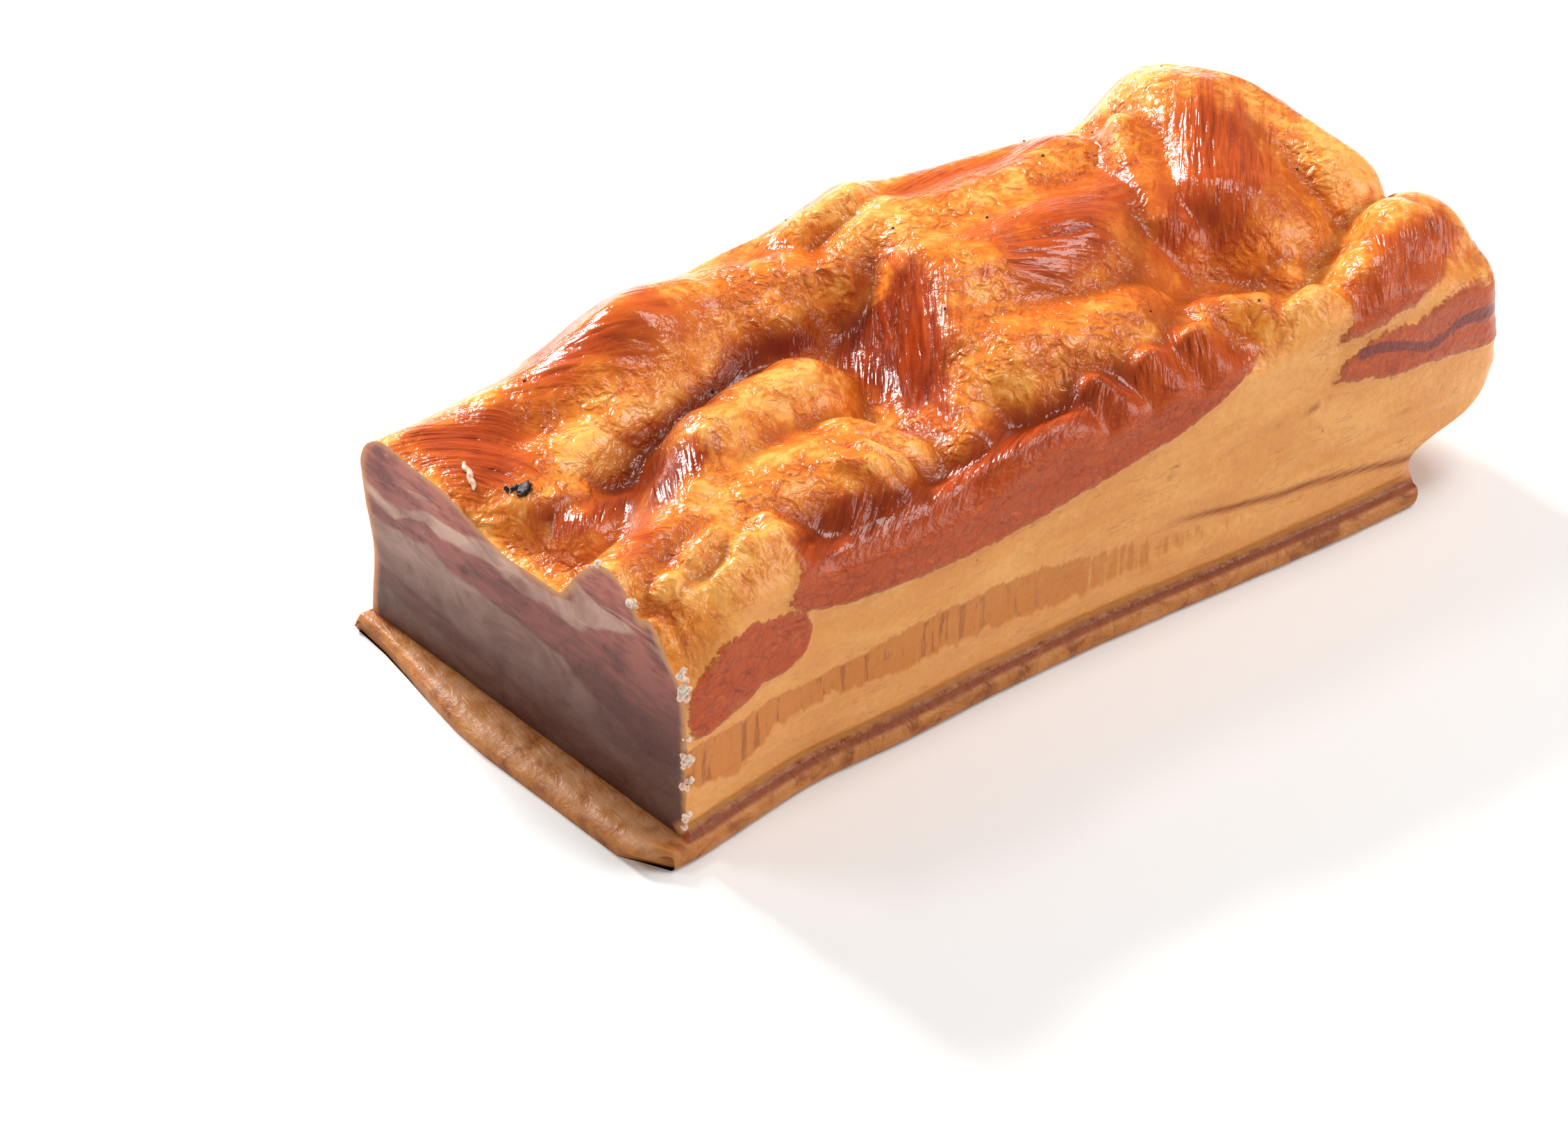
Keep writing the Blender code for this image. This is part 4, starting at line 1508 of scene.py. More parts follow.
    def store(self, mesh: bpy.types.Mesh, shift: Points) -> None:
        """Write the points and the painted values to the mesh.

        Args:
            mesh: The mesh to write to.
            shift: Place of the drawing's zero in the frame, in millimetres.
        """
        moved = (self.points + shift) * MILLIMETRE
        mesh.vertices.foreach_set("co", moved.astype(np.float32).ravel())
        for name in PAINTED:
            store_values(mesh, name, getattr(self, name))
        store_values(mesh, "wall", self.skin.wall)
        store_values(mesh, "rim", self.skin.rim)
        store_values(mesh, "flap", self.flap())
        store_values(mesh, "fibre", np.column_stack([self.fibre, self.points[:, 2]]) * MILLIMETRE)
        store_values(mesh, "drawing", self.points * MILLIMETRE)
        mesh.update()


def add_node(
    tree: bpy.types.NodeTree, kind: str, options: dict | None = None, values: dict | None = None,
    links: dict | None = None,
) -> bpy.types.Node:
    """Add a node with its settings and links.

    Args:
        tree: The node tree.
        kind: Blender's name for the node's type.
        options: Settings of the node by name.
        values: Constants of its inputs, by name or number.
        links: Output sockets that feed its inputs, by name or number.

    Returns:
        The node.
    """
    node = tree.nodes.new(kind)
    for name, value in (options or {}).items():
        setattr(node, name, value)
    for name, value in (values or {}).items():
        node.inputs[name].default_value = value
    for name, socket in (links or {}).items():
        tree.links.new(socket, node.inputs[name])
    return node


@dataclass(frozen=True)
class Glow:
    """How light spreads below a surface: its share, its reach by colour and the depth in millimetres."""

    share: float
    colours: Triple = (1.0, 0.4, 0.2)
    depth: float = 2.5


@dataclass(frozen=True)
class Pattern:
    """Noise by its cells' size in millimetres, along all axes or one by one, and its finer layers."""

    cells: float | Triple
    detail: float = 3.0
    harshness: float = 0.6
    swirl: float = 0.0

    def closeness(self) -> tuple[float, ...]:
        """Cells to a metre along each axis."""
        cells = self.cells if isinstance(self.cells, tuple) else (self.cells,) * 3
        return tuple(1.0 / (cell * MILLIMETRE) for cell in cells)


class FinishTree:
    """A material's node tree, with a method for each step that the finishes share."""

    def __init__(self, name: str) -> None:
        """Make a material whose tree is empty.

        Args:
            name: The material's name.
        """
        self.material = bpy.data.materials.new(name)
        self.material.use_nodes = True
        self.material.node_tree.nodes.clear()

    def node(
        self, kind: str, options: dict | None = None, values: dict | None = None, links: dict | None = None
    ) -> bpy.types.Node:
        """Add a shading node with its settings and links."""
        return add_node(self.material.node_tree, "ShaderNode" + kind, options, values, links)

    def read(self, name: str) -> Socket:
        """Read one of the mesh's painted values."""
        return self.node("Attribute", {"attribute_name": name}).outputs["Fac"]

    def place(self, name: str) -> Socket:
        """Read one of the mesh's painted places."""
        return self.node("Attribute", {"attribute_name": name}).outputs["Vector"]

    def noise(self, place: Socket, pattern: Pattern) -> Socket:
        """Add noise about 0.5, stretched as the pattern says.

        Args:
            place: Places in metres.
            pattern: The noise's cells and layers.

        Returns:
            The noise.
        """
        links = {"Vector": place}
        stretched = self.node("Mapping", values={"Scale": pattern.closeness()}, links=links).outputs[0]
        values = {
            "Scale": 1.0,
            "Detail": pattern.detail,
            "Roughness": pattern.harshness,
            "Distortion": pattern.swirl,
        }
        return self.node("TexNoise", values=values, links={"Vector": stretched}).outputs["Fac"]

    def scaled(self, value: Socket, factor: float, offset: float = 0.0) -> Socket:
        """Multiply a value and add to it."""
        return self.node("Math", {"operation": "MULTIPLY_ADD"}, {1: factor, 2: offset}, {0: value}).outputs[0]

    def swing(self, value: Socket, reach: float) -> Socket:
        """Turn noise about 0.5 into a swing about 0 of the given reach."""
        return self.scaled(value, reach, -0.5 * reach)

    def combined(self, operation: str, *values: Socket) -> Socket:
        """Add or multiply several values.

        Args:
            operation: The kind of sum.
            values: The values.

        Returns:
            The result.
        """
        total = values[0]
        for value in values[1:]:
            total = self.node("Math", {"operation": operation}, links={0: total, 1: value}).outputs[0]
        return total

    def total(self, *values: Socket) -> Socket:
        """Add values up."""
        return self.combined("ADD", *values)

    def product(self, *values: Socket) -> Socket:
        """Multiply values."""
        return self.combined("MULTIPLY", *values)

    def step(
        self, value: Socket, low: float, high: float, low_result: float = 0.0, high_result: float = 1.0
    ) -> Socket:
        """Go softly from one result to another while a value rises from low to high.

        Args:
            value: The value to read.
            low: Where the first result ends.
            high: Where the second result starts.
            low_result: The first result.
            high_result: The second result.

        Returns:
            The result.
        """
        limits = {"From Min": low, "From Max": high, "To Min": low_result, "To Max": high_result}
        soft = {"interpolation_type": "SMOOTHSTEP"}
        return self.node("MapRange", soft, limits, {"Value": value}).outputs["Result"]

    def mix(self, share: Socket, first: Socket, second: Socket | str) -> Socket:
        """Mix a second colour into the first.

        Args:
            share: Share of the second colour.
            first: The first colour.
            second: The second colour, from a socket or as sRGB hex digits.

        Returns:
            The colour.
        """
        values = {7: linear(second)} if isinstance(second, str) else {}
        links = {0: share, 6: first} | ({} if values else {7: second})
        return self.node("Mix", {"data_type": "RGBA"}, values, links).outputs[2]

    def blend(self, share: Socket, first: Socket, second: Socket) -> Socket:
        """Mix a second value into the first."""
        return self.node("Mix", {"data_type": "FLOAT"}, links={0: share, 2: first, 3: second}).outputs[0]

    def ramp(self, value: Socket, *stops: tuple[float, str]) -> Socket:
        """Turn a value into a colour.

        Args:
            value: The value.
            stops: Places and sRGB hex colours, from low to high.

        Returns:
            The colour.
        """
        node = self.node("ValToRGB", links={"Fac": value})
        elements = node.color_ramp.elements
        while len(elements) < len(stops):
            elements.new(0.5)
        for element, (place, code) in zip(elements, stops):
            element.position = place
            element.color = linear(code)
        return node.outputs["Color"]

    def bump(self, height: Socket, strength: float, depth: float, under: Socket | None = None) -> Socket:
        """Tilt the surface by a height pattern.

        Args:
            height: The pattern.
            strength: Share of the effect.
            depth: Depth of the pattern in millimetres.
            under: Coarser relief that it goes on, if any.

        Returns:
            The normal.
        """
        links = {"Height": height} if under is None else {"Height": height, "Normal": under}
        values = {"Strength": strength, "Distance": depth * MILLIMETRE}
        return self.node("Bump", values=values, links=links).outputs["Normal"]

    def finished(
        self, colour: Socket, roughness: Socket | float, gloss: float, glow: Glow,
        normal: Socket | None = None,
    ) -> bpy.types.Material:
        """Close the tree with a glossy shader that lets a little light into the flesh.

        Args:
            colour: The surface's colour.
            roughness: Its roughness, from a socket or as a constant.
            gloss: Index of refraction, which sets how much it mirrors.
            glow: How light spreads below the surface.
            normal: The bumped normal, if any.

        Returns:
            The material.
        """
        values = {
            "IOR": gloss, "Subsurface Weight": glow.share, "Subsurface Radius": glow.colours,
            "Subsurface Scale": glow.depth * MILLIMETRE,
        }
        links = {"Base Color": colour}
        if isinstance(roughness, float):
            values["Roughness"] = roughness
        else:
            links["Roughness"] = roughness
        if normal is not None:
            links["Normal"] = normal
        shader = self.node("BsdfPrincipled", values=values, links=links)
        self.node("OutputMaterial", links={"Surface": shader.outputs["BSDF"]})
        return self.material


@dataclass(frozen=True)
class SmokedCrust:
    """Smoked outside of pork belly: fat tanned golden and lean tanned red-brown.

    Smoke and drying leave a thin, slightly tacky skin. The fat gives a warm glow
    with fine wrinkles and lobules, the lean gives fine strands whose ridges break
    up the gloss.
    """

    fat_pale: str = "f2a955"
    fat_golden: str = "de7f2c"
    fat_orange: str = "c25d1c"
    lean_light: str = "cd6424"
    lean_mid: str = "b54a1b"
    lean_dark: str = "81290d"
    # Deep brown for the smoke-darkened valleys and for painted shade in creases and hollows
    deep: str = "6d2408"
    wall_fat: str = "e39b54"
    wall_fat_low: str = "ebaa62"
    wall_tan: str = "dc924c"
    wall_lean: str = "b34a20"
    streak_brown: str = "ca782f"
    stripe_purple: str = "77302c"
    # Brown of the thin lines on the walls and of the painted shade in the groove over the rind
    line_and_shade_brown: str = "8c3d08"
    crack_brown: str = "8a4519"
    strands: Pattern = Pattern((0.95, 14.0, 0.95 / 0.3), 4.0, 0.6, 0.4)
    broad_strands: Pattern = Pattern((0.95 / 0.22, 14.0 / 0.6, 9.5), 3.0, 0.55)
    ridges: Pattern = Pattern((0.95 / 0.75, 14.0, 4.75), 1.5, 0.5, 0.3)
    blotches: Pattern = Pattern(11.1111, 5.0, 0.6, 0.8)
    mottle: Pattern = Pattern(4.16667, 4.0, 0.6, 0.7)
    wrinkles: Pattern = Pattern(2.6, 4.0, 0.6, 0.5)
    folds: Pattern = Pattern(2.6 / 0.62, 2.6, 0.5, 1.0)
    torn_border: Pattern = Pattern(3.84615, 4.0, 0.7, 1.4)
    layers: Pattern = Pattern((25.0, 16.6667, 11.7647), 4.0, 0.62, 0.5)
    pebbles: Pattern = Pattern((1.92308, 1.92308, 1.6129), 3.0, 0.6, 0.3)
    cracks: Pattern = Pattern((1.92308, 5.0, 20.8333), 4.0, 0.66, 0.5)
    marbling: Pattern = Pattern((6.25, 6.25, 3.0303), 5.0, 0.7, 1.4)
    hairlines: Pattern = Pattern((62.5, 25.0, 8.33333), 4.0, 0.6, 1.6)
    grain: Pattern = Pattern(0.769231, 1.0, 0.5)
    lobule: float = 4.4
    lobule_bends: float = 150.0
    lobule_bend: float = 0.009
    roughness: float = 0.165
    gloss: float = 1.36

    def material(self) -> bpy.types.Material:
        """Build the crust's node tree.

        Returns:
            The material.
        """
        tree = FinishTree("smoked_belly_crust")
        seen = {name: tree.read(name) for name in PAINTED if name != "cut_lean"}
        seen["wall"] = tree.read("wall")
        fibre = tree.place("fibre")
        place = tree.place("drawing")
        for name in ("blotches", "mottle", "wrinkles", "folds", "torn_border"):
            seen[name] = tree.noise(place, getattr(self, name))
        for name in ("layers", "pebbles", "cracks", "marbling"):
            seen[name] = tree.noise(place, getattr(self, name))
        even = tree.node("Value").outputs[0]
        even.default_value = 0.5
        for name in ("strands", "broad_strands", "ridges"):
            seen[name] = tree.blend(seen["seam"], tree.noise(fibre, getattr(self, name)), even)
        seen["lobules"] = self.lobules(tree, place)
        seen["fat_parts"] = tree.step(seen["blotches"], 0.45, 0.6)
        seen["field"] = self.lean_field(tree, seen)
        seen["lean_share"] = tree.step(seen["field"], 0.28, 0.88)
        top = tree.mix(seen["lean_share"], self.fat_colour(tree, seen), self.lean_colour(tree, seen))
        colour = tree.mix(seen["wall"], top, self.wall_colour(tree, seen, place))
        # Brown thin lines on the walls, and painted shade in the groove over the rind
        colour = tree.mix(seen["lines"], colour, self.line_and_shade_brown)
        # Painted shade: the crust goes towards deep brown in creases, hollows and the smoke-darkened valleys
        limits = {"From Min": 0.04, "To Max": 0.85}
        shade = tree.node("MapRange", values=limits, links={"Value": seen["shade"]}).outputs["Result"]
        colour = tree.mix(shade, colour, self.deep)
        rough = tree.total(
            tree.step(seen["blotches"], 0.3, 0.7, self.roughness - 0.03, self.roughness + 0.08),
            tree.scaled(seen["wall"], 0.15),
            tree.scaled(seen["shade"], -0.03),
            tree.scaled(seen["lean_share"], -0.04),
        )
        bump = tree.bump(self.relief(tree, seen), 1.0, 1.4)
        bump = tree.bump(tree.noise(place, self.grain), 0.5, 0.12, bump)
        return tree.finished(colour, rough, self.gloss, Glow(0.08), bump)

    def lobules(self, tree: FinishTree, place: Socket) -> Socket:
        """Distance to the thin membranes that part the lobules of fat, bent by noise.

        Args:
            tree: The crust's tree.
            place: Places in metres.

        Returns:
            The distance.
        """
        noise = {"Scale": self.lobule_bends, "Detail": 2.0}
        push = tree.node("TexNoise", values=noise, links={"Vector": place}).outputs["Color"]
        reach = {1: (self.lobule_bend,) * 3}
        bent = tree.node("VectorMath", {"operation": "MULTIPLY_ADD"}, reach, {0: push, 2: place})
        cells = {"Scale": 1.0 / (self.lobule * MILLIMETRE)}
        links = {"Vector": bent.outputs[0]}
        return tree.node("TexVoronoi", {"feature": "DISTANCE_TO_EDGE"}, cells, links).outputs["Distance"]

    def lean_field(self, tree: FinishTree, seen: dict[str, Socket]) -> Socket:
        """How far inside the lean a point is: where lean ends, its strands reach into the fat.

        Args:
            tree: The crust's tree.
            seen: Painted values and noises by name.

        Returns:
            The measure, about 1 inside.
        """
        ragged = tree.total(
            tree.swing(seen["strands"], 0.62),
            tree.swing(seen["broad_strands"], 0.8),
            tree.swing(seen["blotches"], 0.9),
        )
        ragged = tree.product(ragged, tree.scaled(seen["wall"], -0.25, 1.0))
        torn = tree.product(tree.swing(seen["torn_border"], 1.7), seen["wall"])
        return tree.total(seen["lean"], ragged, torn)

    def fat_colour(self, tree: FinishTree, seen: dict[str, Socket]) -> Socket:
        """Fat on the top: golden, deeper towards the lean, in folds and along the membranes, and deeper
        orange in the painted shade of creases.

        Args:
            tree: The crust's tree.
            seen: Painted values and noises by name.

        Returns:
            The colour.
        """
        tone = tree.total(
            seen["tone"],
            tree.swing(seen["blotches"], 1.0),
            tree.step(seen["field"], -0.1, 0.5, 0.0, 0.34),
            tree.swing(seen["mottle"], 1.0),
            tree.swing(seen["wrinkles"], -0.5),
            tree.swing(seen["folds"], -1.5),
            tree.product(tree.step(seen["lobules"], 0.0, 0.09, 0.34, 0.0), seen["fat_parts"]),
            # Painted shade: the fat turns deeper orange in creases and hollows
            tree.scaled(seen["shade"], 0.45),
        )
        return tree.ramp(tone, (0.05, self.fat_pale), (0.5, self.fat_golden), (1.0, self.fat_orange))

    def lean_colour(self, tree: FinishTree, seen: dict[str, Socket]) -> Socket:
        """Lean on the top: lighter and darker strands.

        Args:
            tree: The crust's tree.
            seen: Painted values and noises by name.

        Returns:
            The colour.
        """
        depth = tree.total(
            seen["red"],
            tree.swing(seen["strands"], -0.95),
            tree.swing(seen["broad_strands"], -0.9),
            tree.swing(seen["ridges"], -0.8),
            tree.step(seen["field"], 0.3, 1.1, -0.25, 0.12),
        )
        return tree.ramp(depth, (0.0, self.lean_light), (0.5, self.lean_mid), (1.0, self.lean_dark))

    def wall_colour(self, tree: FinishTree, seen: dict[str, Socket], place: Socket) -> Socket:
        """Walls: fat in faint layers, a brown streak with cracks up and down, marbled lean, thin lines.

        Args:
            tree: The crust's tree.
            seen: Painted values and noises by name.
            place: Places in metres.

        Returns:
            The colour.
        """
        tone = tree.total(seen["layers"], tree.swing(seen["pebbles"], 0.5))
        wall = tree.ramp(tone, (0.3, self.wall_tan), (0.5, self.wall_fat), (0.72, self.wall_fat_low))
        streak = tree.step(tree.total(seen["streak"], tree.swing(seen["cracks"], 2.0)), 0.3, 0.72, 0.0, 0.85)
        wall = tree.mix(streak, wall, self.streak_brown)
        cracked = tree.product(tree.step(seen["cracks"], 0.47, 0.38, 0.0, 0.75), streak)
        wall = tree.mix(cracked, wall, self.crack_brown)
        depth = tree.total(seen["marbling"], tree.swing(seen["torn_border"], 0.5))
        dark_part = ((0.3, self.lean_dark), (0.42, self.lean_mid))
        light_part = ((0.55, self.wall_lean), (0.74, self.lean_light))
        lean = seen["lean_share"]
        wall = tree.mix(lean, wall, tree.ramp(depth, *dark_part, *light_part))
        net = tree.product(tree.step(seen["lobules"], 0.0, 0.07, 0.45, 0.0), lean)
        wall = tree.mix(net, wall, self.lean_dark)
        border = tree.product(tree.step(lean, 0.1, 0.5), tree.step(lean, 0.95, 0.6, 0.0, 0.55))
        wall = tree.mix(border, wall, self.lean_dark)
        off_line = tree.swing(tree.noise(place, self.hairlines), 1.0)
        off_line = tree.node("Math", {"operation": "ABSOLUTE"}, links={0: off_line}).outputs[0]
        hairline = tree.step(off_line, 0.0, 0.012, 0.36, 0.0)
        hairline = tree.product(hairline, tree.step(seen["blotches"], 0.46, 0.58))
        wall = tree.mix(hairline, wall, self.crack_brown)
        stripe = tree.total(seen["stripe"], tree.swing(seen["marbling"], 1.3))
        return tree.mix(tree.step(stripe, 0.42, 0.7, 0.0, 0.9), wall, self.stripe_purple)

    def relief(self, tree: FinishTree, seen: dict[str, Socket]) -> Socket:
        """Fine relief: strands on the lean, lobules and folds on the fat, pebbles on the walls.

        Args:
            tree: The crust's tree.
            seen: Painted values and noises by name.

        Returns:
            The height.
        """
        swell = tree.product(tree.step(seen["lobules"], 0.0, 0.3, 0.0, 0.3), seen["fat_parts"])
        fat = tree.total(tree.swing(seen["folds"], 0.8), swell)
        stringy = tree.step(seen["blotches"], 0.4, 0.6, 0.4, 1.0)
        calmer = tree.scaled(seen["shade"], -0.55, 1.0)
        lean = tree.product(tree.swing(seen["ridges"], 1.0), stringy, calmer)
        wall = tree.total(tree.scaled(seen["layers"], 0.35), tree.scaled(seen["pebbles"], 0.25))
        return tree.blend(seen["wall"], tree.blend(seen["lean_share"], fat, lean), wall)


@dataclass(frozen=True)
class FreshCut:
    """Freshly cut face of smoked belly: cured lean and fat in soft layers.

    A knife leaves it smooth and moist. The lean is pink to mauve, the fat greyish
    white, and smoke has tanned a thin rim of it.
    """

    lean_pink: str = "c26d5c"
    lean_mauve: str = "7d372d"
    fat_white: str = "ecbfa9"
    fat_grey: str = "ac7460"
    rim_tan: str = "cb8f5a"
    # Dark brown of the painted shadow low on the cut
    low_shadow_brown: str = "3f150c"
    marbling: Pattern = Pattern((33.3333, 29.4118, 4.34783), 6.0, 0.62, 0.7)
    clouds: Pattern = Pattern((16.6667, 16.6667, 11.1111), 4.0, 0.6, 0.8)
    fibres: Pattern = Pattern((8.33333, 9.09091, 1.6129), 4.0, 0.62, 0.6)
    grain: Pattern = Pattern(1.42857, 3.0, 0.6)
    roughness: float = 0.42
    gloss: float = 1.34

    def material(self) -> bpy.types.Material:
        """Build the cut face's node tree.

        Returns:
            The material.
        """
        tree = FinishTree("cut_cured_belly")
        place = tree.place("drawing")
        marbling = tree.noise(place, self.marbling)
        clouds = tree.noise(place, self.clouds)

        # Lean and fat, with fine fat between the muscles
        field = tree.total(tree.read("cut_lean"), tree.scaled(marbling, 1.3, -0.62))
        fat = tree.ramp(clouds, (0.35, self.fat_grey), (0.6, self.fat_white))
        depth = tree.total(clouds, tree.swing(tree.noise(place, self.fibres), 0.7))
        lean = tree.ramp(depth, (0.32, self.lean_mauve), (0.62, self.lean_pink))
        colour = tree.mix(tree.step(field, 0.3, 0.7), fat, lean)
        colour = tree.mix(tree.step(marbling, 0.6, 0.72, 0.0, 0.5), colour, self.fat_white)

        # Painted shadow deepens the colour downwards and towards the near side, and the rim is tanned
        parts = tree.node("SeparateXYZ", links={"Vector": place}).outputs
        level = tree.total(parts["Z"], tree.scaled(parts["Y"], 0.12))
        colour = tree.mix(tree.step(level, 0.07, 0.014, 0.0, 0.9), colour, self.low_shadow_brown)
        edge = tree.total(tree.read("rim"), tree.scaled(marbling, -3.2, 0.6))
        colour = tree.mix(tree.step(edge, -0.9, 1.6, 0.9, 0.0), colour, self.rim_tan)
        bump = tree.bump(marbling, 0.5, 0.5)
        bump = tree.bump(tree.noise(place, self.grain), 0.4, 0.3, bump)
        return tree.finished(colour, self.roughness, self.gloss, Glow(0.12, (1.0, 0.4, 0.25), 3.0), bump)


@dataclass(frozen=True)
class SmokedRind:
    """Pork skin after smoking: a firm tan sheet with a satin surface, fine wrinkles and brown smudges."""

    tan: str = "b87236"
    brown: str = "8e4d1f"
    pale: str = "c98b4c"
    left_fat: str = "cf9468"
    ledge_shade_brown: str = "8a3f0a"
    smudges: Pattern = Pattern(9.09091, 6.0, 0.68, 0.9)
    wrinkles: Pattern = Pattern((2.38095, 6.25, 2.38095), 3.0, 0.55, 1.0)
    pores: Pattern = Pattern(1.11111, 3.0, 0.6)
    roughness: float = 0.4
    gloss: float = 1.36

    def material(self) -> bpy.types.Material:
        """Build the rind's node tree.

        Returns:
            The material.
        """
        tree = FinishTree("smoked_pork_rind")
        place = tree.place("drawing")
        smudges = tree.noise(place, self.smudges)
        colour = tree.ramp(smudges, (0.34, self.brown), (0.48, self.tan), (0.72, self.pale))
        colour = tree.mix(tree.read("flap"), colour, self.left_fat)
        # Painted shade of creases and hollows turns the rind brown
        colour = tree.mix(tree.read("shade"), colour, self.brown)
        # Painted shade in the ledge's corner and the groove
        colour = tree.mix(tree.read("lines"), colour, self.ledge_shade_brown)
        bump = tree.bump(tree.noise(place, self.wrinkles), 0.7, 0.6)
        bump = tree.bump(tree.noise(place, self.pores), 0.45, 0.3, bump)
        return tree.finished(colour, self.roughness, self.gloss, Glow(0.06, depth=2.0), bump)


@dataclass(frozen=True)
class PlainFinish:
    """A small thing's finish: one mottled colour with a satin or dull surface."""

    name: str
    light: str
    dark: str
    roughness: float
    glow: float
    mottle: Pattern = Pattern(1.25, 4.0, 0.6, 0.4)

    def material(self) -> bpy.types.Material:
        """Build the node tree.

        Returns:
            The material.
        """
        tree = FinishTree(self.name)
        mottle = tree.noise(tree.node("TexCoord").outputs["Object"], self.mottle)
        colour = tree.ramp(mottle, (0.35, self.dark), (0.65, self.light))
        glow = Glow(self.glow, (1.0, 0.6, 0.4), 1.0)
        return tree.finished(colour, self.roughness, 1.45, glow, tree.bump(mottle, 0.5, 0.2))


def read_values(
    items: bpy.types.bpy_prop_collection, name: str, width: int, kind: type = np.float32
) -> Points:
    """Read a value of every vertex, edge or attribute entry.

    Args:
        items: The collection to read.
        name: Name of the value.
        width: How many numbers it has.
        kind: Type of the numbers.

    Returns:
        One row of numbers to an item.
    """
    values = np.zeros(len(items) * width, kind)
    items.foreach_get(name, values)
    return values.reshape(-1, width).astype(float if kind is np.float32 else int)


def store_values(mesh: bpy.types.Mesh, name: str, values: Points) -> None:
    """Store one number, or one place, for each point of a mesh.

    Args:
        mesh: The mesh.
        name: Name that the finishes read them by.
        values: The numbers, or rows of three.
    """
    kind, entry = ("FLOAT", "value") if values.ndim == 1 else ("FLOAT_VECTOR", "vector")
    mesh.attributes.new(name, kind, "POINT").data.foreach_set(entry, values.astype(np.float32).ravel())


def face_outwards(mesh: bpy.types.Mesh) -> None:
    """Turn the faces of a closed mesh outwards.

    Args:
        mesh: The mesh to change.
    """
    shape = bmesh.new()
    shape.from_mesh(mesh)
    bmesh.ops.recalc_face_normals(shape, faces=shape.faces)
    shape.to_mesh(mesh)
    shape.free()


def placed(mesh: bpy.types.Mesh, *materials: bpy.types.Material) -> bpy.types.Object:
    """Dress a mesh, shade it smooth and put it into the scene.

    Args:
        mesh: The mesh.
        materials: Its materials, in the order of the faces' numbers.

    Returns:
        An object with the mesh's name.
    """
    for material in materials:
        mesh.materials.append(material)
    mesh.shade_smooth()
    thing = bpy.data.objects.new(mesh.name, mesh)
    bpy.context.scene.collection.objects.link(thing)
    return thing


def aim(thing: bpy.types.Object, place: Vector, target: Vector) -> bpy.types.Object:
    """Put a light or camera into the scene so that it looks at a target.

    Args:
        thing: The light or camera.
        place: Where it stands.
        target: What it looks at.

    Returns:
        The light or camera.
    """
    thing.location = place
    thing.rotation_euler = (target - place).to_track_quat("-Z", "Y").to_euler()
    bpy.context.scene.collection.objects.link(thing)
    return thing


# White fat that the knife has torn off: moist and slightly see-through
CRUMB_FAT = PlainFinish("torn_white_fat", "f2dccb", "dcb49c", 0.35, 0.3)
# Sinew dried by the smoke: pale and satin
DRY_SINEW = PlainFinish("dried_sinew", "e9cdb6", "c98f68", 0.35, 0.2)
# Pepper and charred spice: dull black with brown
CHARRED_SPICE = PlainFinish("charred_spice", "3a2a20", "120d0a", 0.6, 0.0)


@dataclass(frozen=True)
class SmokedSlab:
    """The slab as one dressed piece."""

    form: SlabForm
    name: str = "smoked_slab"
    sharp_angle: float = 60.0

    def shift(self) -> Points:
        """Place of the drawing's zero in the frame, in millimetres."""
        low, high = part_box(NODE_NAME)
        return np.array([low.x / MILLIMETRE - FLAP_FRONT, high.y / MILLIMETRE - RIND_FAR_Y, 0.0])

    def make(self) -> bpy.types.Object:
        """Build the slab, give it its relief and dress it.

        Returns:
            The slab.
        """
        skin = SlabSkin(self.form).build()
        mesh = bpy.data.meshes.new(self.name)
        mesh.from_pydata(skin.points.tolist(), [], skin.faces)
        mesh.polygons.foreach_set("material_index", np.array(skin.coats, np.int32))
        face_outwards(mesh)
        painter = SlabPainter(skin, self.form, mesh)
        shift = self.shift()
        low, high = (np.array(corner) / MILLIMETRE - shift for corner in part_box(NODE_NAME))
        painter.paint_wall()
        painter.paint_lean()
        painter.raise_relief(low, high)
        painter.paint_shade()
        painter.store(mesh, shift)
        slab = placed(mesh, SmokedCrust().material(), FreshCut().material(), SmokedRind().material())
        mesh.set_sharp_from_angle(angle=np.radians(self.sharp_angle))
        return slab


